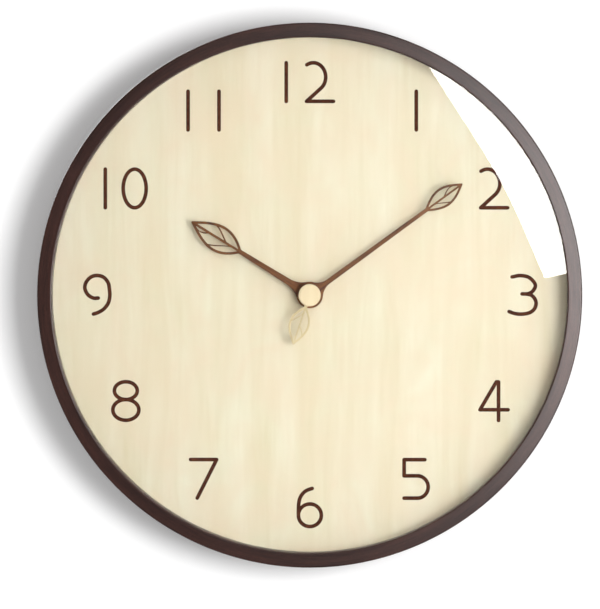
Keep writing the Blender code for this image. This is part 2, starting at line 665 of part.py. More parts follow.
def keyhole(slot_r, entry_r, bearing_z, drop, steps=8):
    """A slot with a round top over a wider round entry; the slot's top edge is at bearing_z."""
    slot_z = bearing_z - slot_r
    entry_z = slot_z - drop
    meet = math.degrees(math.asin(min(slot_r / entry_r, 0.98)))
    points = [(x, slot_z + z) for x, z in
              (polar(slot_r, -90 + 180 * k / steps) for k in range(steps + 1))]
    span = 360 - 2 * meet
    points += [(x, entry_z + z) for x, z in
               (polar(entry_r, meet + span * k / (2 * steps)) for k in range(2 * steps + 1))]
    return points


def build_hanger():
    top_r = RIM_INNER_R - FIT_GAP
    half = HANGER_BLOCK_WIDTH / 2
    spread = math.degrees(math.asin(half / top_r))
    bottom_z = top_r - HANGER_BLOCK_HEIGHT
    outline = [polar(top_r, -spread + 2 * spread * k / 10) for k in range(11)]
    outline += [(half, bottom_z), (-half, bottom_z)]
    slot_z = HANG_ABOVE_CENTRE - KEYHOLE_SLOT_R
    screw_z = slot_z - KEYHOLE_DROP / 2
    screw_places = [(side * HANGER_SCREW_SPACING / 2, screw_z) for side in (-1, 1)]

    holes = [shifted(circle(HANGER_SCREW_R + FIT_GAP, 12), place) for place in screw_places]
    block = flat_piece("hanger_block", outline, holes, BLOCK_REAR, BLOCK_REAR + HANGER_BLOCK_DEPTH,
                       "raw_pine")
    reach = KEYHOLE_POCKET_R
    pocket = flat_piece("keyhole_pocket", rounded_rectangle(
        -reach, reach, slot_z - KEYHOLE_DROP - reach, slot_z + reach, reach * 0.99), [],
        BLOCK_REAR - FACE_GAP, BLOCK_REAR + KEYHOLE_POCKET_DEPTH, "raw_pine")
    combine(block, pocket, "DIFFERENCE")

    plate_low = screw_z - HANGER_PLATE_HEIGHT / 2
    flat_piece("hanger_plate", rounded_rectangle(
        -HANGER_PLATE_WIDTH / 2, HANGER_PLATE_WIDTH / 2, plate_low,
        plate_low + HANGER_PLATE_HEIGHT, 3 * MM),
        [keyhole(KEYHOLE_SLOT_R, KEYHOLE_ENTRY_R, HANG_ABOVE_CENTRE, KEYHOLE_DROP), *holes],
        PLATE_REAR, PLATE_FRONT, "zinc_steel")
    for number, place in enumerate(screw_places, start=1):
        head_front = PLATE_REAR - FACE_GAP
        stack(f"hanger_screw_{number}", [
            (circle(HANGER_SCREW_HEAD_R * 0.8, 14), HANGER_TO_WALL,
             HANGER_TO_WALL + HANGER_SCREW_HEAD * 0.4),
            (circle(HANGER_SCREW_HEAD_R, 14), HANGER_TO_WALL + HANGER_SCREW_HEAD * 0.4, head_front),
            (circle(HANGER_SCREW_R, 10), head_front, head_front + HANGER_SCREW_LENGTH)],
            "zinc_steel", place=place)


# ================================================================ movement shells and plates
def build_shells():
    side, inner = HOUSING_HALF, CHAMBER_HALF
    shell = flat_piece("front_housing", rounded_rectangle(
        -side, side, HOUSING_BOTTOM, HOUSING_TOP, SHELL_CORNER_R),
        [circle(BUSH_R + FIT_GAP, 20)], SHELL_REAR, SHELL_FRONT, "black_plastic")
    for label, low, high in (("train_chamber", CHAMBER_BOTTOM, CHAMBER_TOP),
                             ("battery_bay", BAY_BOTTOM, BAY_TOP)):
        pocket = flat_piece(label, rounded_rectangle(-inner, inner, low, high, MM, 2), [],
                            SHELL_REAR - SHELL_WALL, SHELL_FLOOR, "black_plastic")
        combine(shell, pocket, "DIFFERENCE")
    in_wall = SHELL_FRONT - SHELL_WALL / 2
    for number, place in enumerate(POSTS, start=1):
        post = stack(f"post_{number}", [(circle(POST_R, 12), SHELL_REAR + FACE_GAP, in_wall)],
                     "black_plastic", place=place)
        combine(shell, post, "UNION")
    pin_end = SHELL_FLOOR - MOTION_LEVEL[1] * MM - FACE_GAP
    pin = stack("motion_pin", [(circle(PIVOT_R, 12), pin_end, in_wall)], "black_plastic",
                place=MOTION_AXLE)
    combine(shell, pin, "UNION")

    stem_hole = shifted(circle(KNOB_STEM_R + FIT_GAP, 14), KNOB_AXLE)
    flat_piece("back_cover", rounded_rectangle(-side, side, BAY_TOP, HOUSING_TOP, SHELL_CORNER_R),
               [stem_hole], COVER_REAR, COVER_REAR + COVER_THICK, "black_plastic")


def build_plates():
    post_holes = [shifted(circle(POST_R + FIT_GAP, 10), post) for post in POSTS]
    stem_hole = shifted(circle(KNOB_STEM_R + FIT_GAP, 10), KNOB_AXLE)
    pivots = (HAND_AXLE, THIRD_AXLE, INTERMEDIATE_AXLE, ROTOR_AXLE)
    pivot_holes = [shifted(circle(PIVOT_R + FIT_GAP, 10), axle) for axle in pivots]
    outline = rounded_rectangle(min(x for x, z in POSTS) - PLATE_MARGIN,
                                max(KNOB_AXLE[0], *(x for x, z in POSTS)) + PLATE_MARGIN,
                                CHAMBER_BOTTOM + FACE_GAP, PLATE_TOP, PLATE_MARGIN * 0.7, 2)
    for name, front_level in (("middle_plate", MIDDLE_PLATE_FRONT), ("train_plate", TRAIN_PLATE_FRONT)):
        front = SHELL_FLOOR - front_level * MM
        flat_piece(name, outline, [*post_holes, stem_hole, *pivot_holes],
                   front - PLATE_THICK, front, "white_plastic")


# ================================================================ train
def wheel_and_pinion(name, finish, axle, wheel, pinion, ends):
    """A toothed wheel, its pinion and its arbor in one moulding.

    wheel and pinion are (outline, level); ends are the arbor's (front, rear) levels.
    """
    arbor = circle(PIVOT_R, 12)
    parts = sorted([wheel, pinion], key=lambda item: item[1][0])
    levels = [(arbor, *below_floor((ends[0], parts[0][1][0])))]
    levels += [(outline, *below_floor(level)) for outline, level in parts]
    levels.append((arbor, *below_floor((parts[1][1][1], ends[1]))))
    return stack(name, levels, finish, place=axle)


def build_train():
    middle_in = MIDDLE_PLATE_FRONT + 0.2
    rear_in = TRAIN_PLATE_FRONT + 0.6

    rotor_phase = mate_phase(ROTOR_DIRECTION + 180, INTERMEDIATE_TEETH, ROTOR_TEETH)
    wheel_and_pinion("rotor", "magnet", ROTOR_AXLE, (circle(MAGNET_R, 20), MAGNET_LEVEL),
                     (teeth(ROTOR_TEETH, ROTOR_MODULE, rotor_phase), ROTOR_LEVEL),
                     (middle_in, rear_in))
    wheel_and_pinion("intermediate_wheel", "white_plastic", INTERMEDIATE_AXLE,
                     (teeth(INTERMEDIATE_TEETH, ROTOR_MODULE), INTERMEDIATE_LEVEL),
                     (teeth(INTERMEDIATE_PINION, SECONDS_MODULE), INTERMEDIATE_PINION_LEVEL),
                     (middle_in, rear_in))
    third_phase = mate_phase(THIRD_DIRECTION, SECONDS_PINION, THIRD_TEETH)
    wheel_and_pinion("third_wheel", "white_plastic", THIRD_AXLE,
                     (teeth(THIRD_TEETH, THIRD_MODULE, third_phase), THIRD_LEVEL),
                     (teeth(THIRD_PINION, CENTRE_MODULE), THIRD_PINION_LEVEL), (0.5, 7.2))

    seconds_phase = mate_phase(INTERMEDIATE_DIRECTION + 180, INTERMEDIATE_PINION, SECONDS_TEETH)
    arbor = circle(SECOND_ARBOR_R, 12)
    floor = SHELL_FLOOR
    stack("seconds_wheel", [
        (arbor, *below_floor((SECONDS_LEVEL[1], rear_in))),
        (teeth(SECONDS_TEETH, SECONDS_MODULE, seconds_phase), *below_floor(SECONDS_LEVEL)),
        (arbor, *below_floor((SECONDS_PINION_LEVEL[1], SECONDS_LEVEL[0]))),
        (teeth(SECONDS_PINION, THIRD_MODULE), *below_floor(SECONDS_PINION_LEVEL)),
        (arbor, floor - SECONDS_PINION_LEVEL[0] * MM, SECOND_HAND_FRONT - FACE_GAP)], "brass")

    centre_phase = mate_phase(THIRD_DIRECTION + 180, THIRD_PINION, CENTRE_TEETH)
    stack("centre_wheel", [(teeth(CENTRE_TEETH, CENTRE_MODULE, centre_phase),
                            *below_floor(CENTRE_LEVEL))], "white_plastic",
          bore=MINUTE_TUBE_R + FIT_GAP)
    clutch_rear = floor - CENTRE_LEVEL[0] * MM + FACE_GAP
    stack("clutch_spring", [(circle(CLUTCH_R, 16), clutch_rear, clutch_rear + CLUTCH_THICK)],
          "zinc_steel", bore=MINUTE_TUBE_R + FIT_GAP)

    cannon_phase = mate_phase(MOTION_DIRECTION + 180, MOTION_TEETH, CANNON_TEETH)
    tube = circle(MINUTE_TUBE_R, 16)
    stack("minute_tube", [
        (tube, *below_floor((CANNON_LEVEL[1], CENTRE_LEVEL[1]))),
        (teeth(CANNON_TEETH, MOTION_MODULE, cannon_phase), *below_floor(CANNON_LEVEL)),
        (tube, floor - CANNON_LEVEL[0] * MM, MINUTE_HAND_FRONT - FACE_GAP / 2)], "brass",
        bore=MINUTE_BORE_R)
    stack("motion_wheel", [
        (teeth(MOTION_TEETH, MOTION_MODULE), *below_floor(MOTION_LEVEL)),
        (teeth(MOTION_PINION, HOUR_MODULE), *below_floor((HOUR_LEVEL[0], MOTION_LEVEL[0])))],
        "white_plastic", bore=PIVOT_R + FIT_GAP, place=MOTION_AXLE)
    hour_phase = mate_phase(MOTION_DIRECTION + 180, MOTION_PINION, HOUR_TEETH)
    stack("hour_wheel", [
        (teeth(HOUR_TEETH, HOUR_MODULE, hour_phase), *below_floor(HOUR_LEVEL)),
        (circle(HOUR_TUBE_R, 16), floor - HOUR_LEVEL[0] * MM, HOUR_HAND_FRONT - FACE_GAP / 2)],
        "white_plastic", bore=HOUR_BORE_R)

    knob_phase = mate_phase(KNOB_DIRECTION, MOTION_TEETH, KNOB_TEETH)
    ribs = [polar(KNOB_R * (1 if k % 2 else 0.93), 180 * k / KNOB_RIBS) for k in range(2 * KNOB_RIBS)]
    stack("setting_knob", [
        (ribs, KNOB_TO_WALL, KNOB_TO_WALL + KNOB_THICK),
        (circle(KNOB_STEM_R, 14), KNOB_TO_WALL + KNOB_THICK, floor - CANNON_LEVEL[1] * MM),
        (teeth(KNOB_TEETH, MOTION_MODULE, knob_phase), *below_floor(CANNON_LEVEL))],
        "white_plastic", place=KNOB_AXLE)


# ================================================================ electric pieces
def bent_strip(name, route, thick, low, high, finish):
    """A strip bent along a route of (x, depth) points, from height `low` to `high`."""
    left, right = [], []
    for i, (x, depth) in enumerate(route):
        before, after = route[max(i - 1, 0)], route[min(i + 1, len(route) - 1)]
        length = math.dist(before, after)
        nx, nd = (after[1] - before[1]) / length, -(after[0] - before[0]) / length
        left.append((x + nx * thick / 2, depth + nd * thick / 2))
        right.append((x - nx * thick / 2, depth - nd * thick / 2))
    loop = left + right[::-1]
    bm = bmesh.new()
    ends = [[bm.verts.new((x, -depth, z)) for x, depth in loop] for z in (low, high)]
    wall_between(bm, *ends)
    for end in ends:
        bm.faces.new(end)
    return make_object(name, bm, finish)


def lie_along_x(obj, x, depth, z):
    """Turn a piece built along -Y so that its front points to +X."""
    obj.rotation_euler = (0, 0, math.radians(90))
    obj.location = (x, -depth, z)


def build_electrics():
    wall = CHAMBER_HALF - CONTACT_THICK / 2 - FACE_GAP
    nub_end = CHAMBER_HALF - POSITIVE_ROOM
    body_end = nub_end - BATTERY_NUB
    rear_end = nub_end - BATTERY_LENGTH
    battery = stack("battery", [
        (circle(BATTERY_R, 24), rear_end, body_end), (circle(BATTERY_NUB_R, 14), body_end, nub_end)],
        "battery_wrap")
    lie_along_x(battery, 0, BATTERY_DEPTH, BATTERY_Z)

    low, high = BATTERY_Z - CONTACT_WIDTH / 2, BATTERY_Z + CONTACT_WIDTH / 2
    back, front = SHELL_REAR + MM, SHELL_FLOOR - FACE_GAP
    arch = 3 * MM
    bent_strip("positive_contact", [
        (wall, back), (wall, BATTERY_DEPTH - arch), (wall - CONTACT_BOW, BATTERY_DEPTH),
        (wall, BATTERY_DEPTH + arch), (wall, front)], CONTACT_THICK, low, high, "zinc_steel")
    touch = rear_end - FACE_GAP - CONTACT_THICK / 2
    bend = CONTACT_TRAVEL * 0.3
    turn = [math.radians(180 * step / 4) for step in range(5)]
    bent_strip("negative_contact", [
        (-wall, front), *[(-wall + bend - bend * math.cos(t), back + bend - bend * math.sin(t))
                          for t in turn],
        (touch, BATTERY_DEPTH), (touch - bend, BATTERY_DEPTH + arch)],
        CONTACT_THICK, low, high, "zinc_steel")

    core_rear, core_front = below_floor(CORE_LEVEL)
    half_span = CORE_SPAN / 2
    flat_piece("coil_core", rounded_rectangle(
        -half_span, half_span, CORE_Z - CORE_HEIGHT / 2, CORE_Z + CORE_HEIGHT / 2, 0.3 * MM, 1),
        [], core_rear, core_front, "soft_iron")
    coil_depth = (core_rear + core_front) / 2
    bore = math.hypot(CORE_HEIGHT, core_front - core_rear) / 2 + FIT_GAP
    end = COIL_LENGTH / 2
    flange = 0.8 * MM
    bobbin = stack("coil_bobbin", [
        (circle(BOBBIN_FLANGE_R, 16), -end, -end + flange),
        (circle(bore + BOBBIN_WALL, 16), -end + flange, end - flange),
        (circle(BOBBIN_FLANGE_R, 16), end - flange, end)], "white_plastic", bore=bore)
    lie_along_x(bobbin, 0, coil_depth, CORE_Z)
    winding = stack("coil_winding", [(circle(COIL_R, 20), -end + flange + FACE_GAP,
                                      end - flange - FACE_GAP)], "copper_wire",
                    bore=bore + BOBBIN_WALL + 0.2 * MM)
    lie_along_x(winding, 0, coil_depth, CORE_Z)

    low = ROTOR_AXLE[1] - MAGNET_HOLE_R - STATOR_BRIDGE
    top = CORE_Z + CORE_HEIGHT / 2
    leg = half_span - STATOR_LEG
    outline = [(-half_span, low), (-half_span, top), (-leg, top), (-leg, STATOR_TOP),
               (leg, STATOR_TOP), (leg, top), (half_span, top), (half_span, low)]
    flat_piece("stator", outline, [shifted(circle(MAGNET_HOLE_R, 18), ROTOR_AXLE)],
               *below_floor(STATOR_LEVEL), "soft_iron")

    board_x = -CHAMBER_HALF + FACE_GAP
    board_rear, board_front = below_floor(BOARD_LEVEL)
    board_low = CHAMBER_BOTTOM + 2 * FACE_GAP
    flat_piece("circuit_board", rounded_rectangle(
        board_x, board_x + BOARD_WIDTH, board_low, board_low + BOARD_HEIGHT, 0.5 * MM, 1), [],
        board_rear, board_front, "green_board")
    middle_x = board_x + BOARD_WIDTH / 2
    stack("chip_cover", [
        (circle(CHIP_R * 0.6, 14), board_rear - FACE_GAP - CHIP_HEIGHT,
         board_rear - FACE_GAP - CHIP_HEIGHT * 0.7),
        (circle(CHIP_R, 14), board_rear - FACE_GAP - CHIP_HEIGHT * 0.7, board_rear - FACE_GAP)],
        "black_plastic", place=(middle_x, board_low + BOARD_HEIGHT * 0.3))
    crystal = stack("quartz_crystal", [(circle(CRYSTAL_R, 12), 0, CRYSTAL_LENGTH)], "zinc_steel")
    crystal.rotation_euler = (math.radians(-90), 0, 0)
    crystal.location = (middle_x, -(board_rear - FACE_GAP - CRYSTAL_R), board_low + BOARD_HEIGHT * 0.6)


# ================================================================ what holds movement and hands
def build_fixings():
    stack("threaded_bush", [
        (circle(BUSH_FLANGE_R, 20), BUSH_REAR, BUSH_REAR + BUSH_FLANGE),
        (circle(BUSH_R, 20), BUSH_REAR + BUSH_FLANGE, BUSH_FRONT)], "brass", bore=BUSH_BORE_R)
    ring_bore = BUSH_R + FIT_GAP
    stack("rubber_washer", [(circle(RUBBER_R, 24), RUBBER_REAR, RUBBER_REAR + RUBBER_THICK)],
          "black_rubber", bore=ring_bore)
    stack("nut_washer", [(circle(NUT_WASHER_R, 24), NUT_WASHER_REAR,
                          NUT_WASHER_REAR + NUT_WASHER_THICK)], "brass", bore=ring_bore)
    stack("hex_nut", [(circle(NUT_FLATS / math.sqrt(3), 6), NUT_REAR, NUT_REAR + NUT_THICK)],
          "brass", bore=ring_bore)


def collet(name, bore, flange_r, rear, front):
    tube_r = bore + COLLET_WALL
    stack(name, [(circle(flange_r, 18), rear, rear + COLLET_FLANGE),
                 (circle(tube_r, 16), rear + COLLET_FLANGE, front)], "brass", bore=bore)
    return tube_r + FIT_GAP


def build_hands():
    bore = collet("hour_collet", HOUR_TUBE_R + FIT_GAP, HUB_R - 1.5 * MM,
                  HOUR_COLLET_REAR, HOUR_HAND_FRONT - FACE_GAP / 2)
    make_hand("hour_hand", HOUR_LEAF, HOUR_ARM, HUB_R, bore, HOUR_HAND_REAR, HOUR_HAND_FRONT,
              "walnut_hand", HOUR_ANGLE)
    bore = collet("minute_collet", MINUTE_TUBE_R + FIT_GAP, HUB_R - 1.5 * MM,
                  MINUTE_COLLET_REAR, MINUTE_HAND_FRONT - FACE_GAP / 2)
    make_hand("minute_hand", MINUTE_LEAF, MINUTE_ARM, HUB_R, bore, MINUTE_HAND_REAR,
              MINUTE_HAND_FRONT, "walnut_hand", MINUTE_ANGLE)
    bore = collet("second_socket", SECOND_ARBOR_R + FIT_GAP, SECOND_HUB_R - 1.5 * MM,
                  SOCKET_REAR, SECOND_HAND_FRONT - FACE_GAP / 2)
    make_hand("second_hand", SECOND_LEAF, SECOND_ARM, SECOND_HUB_R, bore, SECOND_HAND_REAR,
              SECOND_HAND_FRONT, "pale_veneer", SECOND_ANGLE)
    stack("hand_cap", [(circle(CAP_R, 32), CAP_REAR, CAP_FRONT - 0.3 * MM),
                       (circle(CAP_R - 0.3 * MM, 32), CAP_FRONT - 0.3 * MM, CAP_FRONT)],
          "pale_veneer")


clear_scene()
DIAL_AXIS = bpy.data.objects.new("dial_axis", None)
bpy.context.scene.collection.objects.link(DIAL_AXIS)
DIAL_AXIS.location = (0, 0, -HANG_ABOVE_CENTRE)

build_front()
build_clips()
build_hanger()
build_shells()
build_plates()
build_train()
build_electrics()
build_fixings()
build_hands()
bpy.context.view_layer.update()
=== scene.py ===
# %% [markdown]
# # A round wooden wall clock
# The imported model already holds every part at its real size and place. This lesson gives it its looks:
# the stained rim, the veneer dial with burnt-in numerals, the leaf hands, the glass, and the plain
# working side that faces the wall. Everything is in metres, and the clock faces -Y.

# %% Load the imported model
import json
import math

import bmesh
import bpy
from mathutils import Matrix, Vector


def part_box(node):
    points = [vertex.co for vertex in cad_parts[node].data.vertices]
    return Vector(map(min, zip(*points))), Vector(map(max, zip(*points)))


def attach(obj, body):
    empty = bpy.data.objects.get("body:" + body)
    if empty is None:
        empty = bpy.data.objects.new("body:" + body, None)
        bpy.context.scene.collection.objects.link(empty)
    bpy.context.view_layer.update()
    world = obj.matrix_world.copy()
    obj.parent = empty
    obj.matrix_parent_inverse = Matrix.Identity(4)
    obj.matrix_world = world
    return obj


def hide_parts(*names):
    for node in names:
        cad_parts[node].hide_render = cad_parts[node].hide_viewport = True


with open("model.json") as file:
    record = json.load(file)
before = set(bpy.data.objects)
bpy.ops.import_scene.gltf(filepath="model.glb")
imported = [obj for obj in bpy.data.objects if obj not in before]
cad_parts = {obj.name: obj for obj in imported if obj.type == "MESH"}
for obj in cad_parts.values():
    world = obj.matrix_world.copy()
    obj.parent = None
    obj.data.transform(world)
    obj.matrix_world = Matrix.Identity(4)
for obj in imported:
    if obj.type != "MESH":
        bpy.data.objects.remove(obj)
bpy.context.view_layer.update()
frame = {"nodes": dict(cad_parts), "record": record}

MM = 0.001

# %% [markdown]
# ## Places read from the model
# A turned part has its place given by the box around it, so the dial's axis and every depth are read
# from there. The radius of a hole is read from the part's own points.

# %% Read the axis and the depths
rim_low, rim_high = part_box("rim")
CENTRE_X = (rim_low.x + rim_high.x) / 2
CENTRE_Z = (rim_low.z + rim_high.z) / 2
RIM_R = (rim_high.x - rim_low.x) / 2


def depths(node):
    """The y of a node's front and of its rear."""
    low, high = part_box(node)
    return low.y, high.y


def points_of(node):
    return [v.co for v in frame["nodes"][node].data.vertices]


def radii(node):
    """The smallest and the largest distance of a node's points from the dial's axis."""
    reach = [math.hypot(p.x - CENTRE_X, p.z - CENTRE_Z) for p in points_of(node)]
    return min(reach), max(reach)


def middle(node):
    """The middle of a node's box."""
    low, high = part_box(node)
    return (low + high) / 2


DIAL_FRONT = depths("dial_board")[0]
GLASS_FRONT, GLASS_REAR = depths("glass")
print(f"rim radius {RIM_R / MM:.1f} mm, dial front {-DIAL_FRONT / MM:.1f} mm from the wall")

# %% [markdown]
# ## The view
# A catalogue view of a wall clock is taken square on with a long lens, so that the rim looks evenly
# wide. The camera stands four metres away, a little right of the dial's axis and above it, which is why a
# sliver of the inner wall shows at the lower left.

# %% Camera
VIEW_DISTANCE = 4.0
VIEW_RIGHT = 0.052
VIEW_ABOVE = 0.076
LENS_PER_METRE = 107.5
AIM_LEFT = 5.2 * MM
AIM_BELOW = 5.0 * MM


def add_object(name, data):
    """An object that holds a mesh, a curve, a lamp or a camera, linked into the scene."""
    thing = bpy.data.objects.new(name, data)
    bpy.context.scene.collection.objects.link(thing)
    return thing


def aim(thing, target):
    """Turns a camera or a lamp so that its -Z points at the target."""
    thing.rotation_euler = (Vector(target) - thing.location).to_track_quat("-Z", "Y").to_euler()


camera = add_object("camera", bpy.data.cameras.new("camera"))
bpy.context.scene.camera = camera
camera.data.sensor_width = 36
camera.data.lens = LENS_PER_METRE * VIEW_DISTANCE
camera.data.clip_start = 0.01
camera.location = (CENTRE_X + VIEW_RIGHT, rim_low.y - VIEW_DISTANCE, CENTRE_Z + VIEW_ABOVE)
aim(camera, (CENTRE_X - AIM_LEFT, rim_low.y, CENTRE_Z - AIM_BELOW))
bpy.context.scene.view_settings.view_transform = "Standard"
print(f"lens {camera.data.lens:.0f} mm")

# %% [markdown]
# ## Small helpers for shader nodes
# A material here is a Principled shader with a pattern in front of it. What is the same all over the
# surface is set on the shader's own socket, and only what varies is linked.

# %% Helpers for materials
def linear(red, green, blue):
    """A colour as mixed on a screen, 0 to 255, turned into the light that Blender computes with."""
    return (*(((c / 255 + 0.055) / 1.055) ** 2.4 for c in (red, green, blue)), 1.0)


def wire(tree, *pairs):
    """Links each pair of a source socket and a target socket."""
    for source, target in pairs:
        tree.links.new(source, target)


def add_node(tree, kind, **settings):
    """A node with its sockets set by their names, and its other settings by theirs."""
    node = tree.nodes.new(kind)
    for key, value in settings.items():
        if key in node.inputs:
            node.inputs[key].default_value = value
        else:
            setattr(node, key, value)
    return node


def set_inputs(node, values):
    for name, value in values.items():
        node.inputs[name].default_value = value


def new_material(name, roughness=0.5, metallic=0.0, colour=(0.8, 0.8, 0.8, 1.0), shine=0.5):
    """A material, its node tree and its Principled shader."""
    material = bpy.data.materials.new(name)
    material.use_nodes = True
    shader = material.node_tree.nodes["Principled BSDF"]
    set_inputs(shader, {"Base Color": colour, "Roughness": roughness, "Metallic": metallic,
                        "Specular IOR Level": shine})
    return material, material.node_tree, shader


def placed_coordinates(tree, size, centre=(0, 0, 0), turn=(0, 0, 0)):
    """Object coordinates, moved to a centre, turned, and divided by the pattern's size along each axis."""
    coordinates = add_node(tree, "ShaderNodeTexCoord")
    mapping = add_node(tree, "ShaderNodeMapping", vector_type="TEXTURE",
                       Location=centre, Rotation=turn, Scale=size)
    tree.links.new(coordinates.outputs["Object"], mapping.inputs["Vector"])
    return mapping.outputs["Vector"]


def noise(tree, vector, detail=3.0, roughness=0.55, distortion=0.0):
    node = add_node(tree, "ShaderNodeTexNoise", Scale=1.0, Detail=detail, Roughness=roughness,
                    Distortion=distortion)
    tree.links.new(vector, node.inputs["Vector"])
    return node.outputs["Fac"]


def ramp(tree, value, stops):
    """A colour ramp with the given (place, colour) stops."""
    node = add_node(tree, "ShaderNodeValToRGB")
    elements = node.color_ramp.elements
    while len(elements) < len(stops):
        elements.new(0.5)
    for element, (place, colour) in zip(elements, stops):
        element.position = place
        element.color = colour
    tree.links.new(value, node.inputs["Fac"])
    return node.outputs["Color"]


def feed(tree, sockets, values):
    """Sets each socket to its value, which is a plain one or another node's output."""
    for socket, value in zip(sockets, values):
        if isinstance(value, bpy.types.NodeSocket):
            tree.links.new(value, socket)
        else:
            socket.default_value = value


def mix(tree, share, first, second, mode="MIX"):
    """Two colours mixed. The colour sockets of this node are the ones numbered 6, 7 and 2."""
    node = add_node(tree, "ShaderNodeMix", data_type="RGBA", blend_type=mode)
    feed(tree, (node.inputs[0], node.inputs[6], node.inputs[7]), (share, first, second))
    return node.outputs[2]


def calculate(tree, operation, first, second):
    node = add_node(tree, "ShaderNodeMath", operation=operation)
    feed(tree, node.inputs, (first, second))
    return node.outputs[0]


def surface_of_two(tree, share, first, second):
    """Ends a material with the first shader where the share is 0 and the second where it is 1."""
    either = add_node(tree, "ShaderNodeMixShader")
    feed(tree, either.inputs, (share, first, second))
    tree.links.new(either.outputs[0], tree.nodes["Material Output"].inputs["Surface"])


def span(tree, value, low, high):
    """A 0 to 1 value spread over another range."""
    node = add_node(tree, "ShaderNodeMapRange")
    set_inputs(node, {"To Min": low, "To Max": high})
    tree.links.new(value, node.inputs["Value"])
    return node.outputs["Result"]


def coat(tree, shader, colour, height, rough, swing, relief, depth):
    """The shader's colour, and from one noise its relief and its roughness, from one swing to the other."""
    bump = add_node(tree, "ShaderNodeBump", Strength=relief, Distance=depth)
    wire(tree, (colour, shader.inputs["Base Color"]),
         (span(tree, height, rough - swing, rough + swing), shader.inputs["Roughness"]),
         (height, bump.inputs["Height"]), (bump.outputs["Normal"], shader.inputs["Normal"]))


# %% [markdown]
# ## Straight-grained wood
# Wood grain is noise stretched along the fibres. Three sizes of it are laid over each other: broad
# bands of colour, fine fibres, and short dark pores. The same function makes the walnut of the hands,
# the pale veneer of the dial and the raw softwood of the hanging block, each with its own numbers.

# %% Wood with straight grain
def straight_wood(name, dark, light, turn=0.0, band=12 * MM, fibre=0.7 * MM, length=40 * MM,
                  roughness=0.55, relief=0.08, pores=0.0, bands=0.5, contrast=0.5, shine=0.25,
                  blotch=None, wander=0.0):
    """Wood whose grain runs at `turn` degrees clockwise from upright, as seen from the front."""
    material, tree, shader = new_material(name, roughness, shine=shine)
    dark, light = linear(*dark), linear(*light)

    def grain(across, along, detail, distortion=0.0):
        """Noise of one size across the fibres and another along them."""
        vector = placed_coordinates(tree, (across, across, along), (CENTRE_X, 0, CENTRE_Z),
                                    (0, math.radians(turn), 0))
        return noise(tree, vector, detail=detail, distortion=distortion)

    broad = grain(band, length * 3, 4, wander)
    fine = grain(fibre, length, 4)
    low = (1 - contrast) / 2
    body = ramp(tree, fine, [(low, dark), (1 - low, light)])
    tone = ramp(tree, broad, [(0.35, dark), (0.65, light)])
    colour = mix(tree, bands, body, tone)
    if blotch:
        patch = grain(band * 2, length, 3, 1.0)
        colour = mix(tree, span(tree, patch, -0.5, 1.2), colour, linear(*blotch))
    if pores:
        short = grain(fibre * 0.6, length / 12, 2)
        mark = ramp(tree, short, [(0.28, (1, 1, 1, 1)), (0.40, (0, 0, 0, 1))])
        darker = tuple(c * 0.45 for c in dark[:3]) + (1.0,)
        colour = mix(tree, calculate(tree, "MULTIPLY", mark, pores), colour, darker)
    coat(tree, shader, colour, fine, roughness, -0.08, relief, 0.05 * MM)
    return material


# %% [markdown]
# ## Wood bent into a ring
# The rim is a strip of wood bent round, so its fibres run round the clock. Here the noise is read at
# (x, radius, z): x and z change slowly, which draws the pattern out along the ring, while the radius
# changes fast, which packs the fibres close together. There is no seam, as there would be with an angle.

# %% Wood with its grain round the ring
def ring_wood(name, dark, light, fibre=0.5 * MM, length=30 * MM, roughness=0.34, relief=0.5):
    """Wood whose fibres run round the dial's axis, on faces that look forwards and on the ring's sides."""
    material, tree, shader = new_material(name, roughness)
    dark, light = linear(*dark), linear(*light)
    parts = add_node(tree, "ShaderNodeSeparateXYZ")
    flat = add_node(tree, "ShaderNodeCombineXYZ")
    radius = add_node(tree, "ShaderNodeVectorMath", operation="LENGTH")
    wire(tree, (placed_coordinates(tree, (1, 1, 1), (CENTRE_X, 0, CENTRE_Z)), parts.inputs[0]),
         (parts.outputs["X"], flat.inputs["X"]), (parts.outputs["Z"], flat.inputs["Z"]),
         (flat.outputs[0], radius.inputs[0]))
    across = calculate(tree, "SUBTRACT", radius.outputs["Value"], parts.outputs["Y"])

    def along_ring(size_across, size_along):
        joined = add_node(tree, "ShaderNodeCombineXYZ")
        feed(tree, joined.inputs, [calculate(tree, "DIVIDE", source, size) for source, size in (
            (parts.outputs["X"], size_along), (across, size_across), (parts.outputs["Z"], size_along))])
        return joined.outputs[0]

    fine = noise(tree, along_ring(fibre, length / 3), detail=4, roughness=0.65)
    broad = noise(tree, along_ring(fibre * 8, length * 2), detail=3)
    speck = noise(tree, along_ring(fibre * 0.8, fibre * 2.5), detail=1)
    body = ramp(tree, fine, [(0.30, dark), (0.72, light)])
    tone = ramp(tree, broad, [(0.35, dark), (0.70, light)])
    colour = mix(tree, 0.45, body, tone)
    spots = ramp(tree, speck, [(0.30, (0.75, 0.75, 0.75, 1)), (0.55, (1, 1, 1, 1)),
                               (0.75, (1.25, 1.22, 1.2, 1))])
    colour = mix(tree, 0.8, colour, spots, mode="MULTIPLY")
    coat(tree, shader, colour, fine, roughness, -0.06, relief, 0.06 * MM)
    return material


# %% [markdown]
# ## Metal, plastic and the rest
# Zinc plate and brass get a little cloudiness in colour and roughness, moulded plastic the fine
# pebbling of an etched mould. Both come from one function with different numbers.

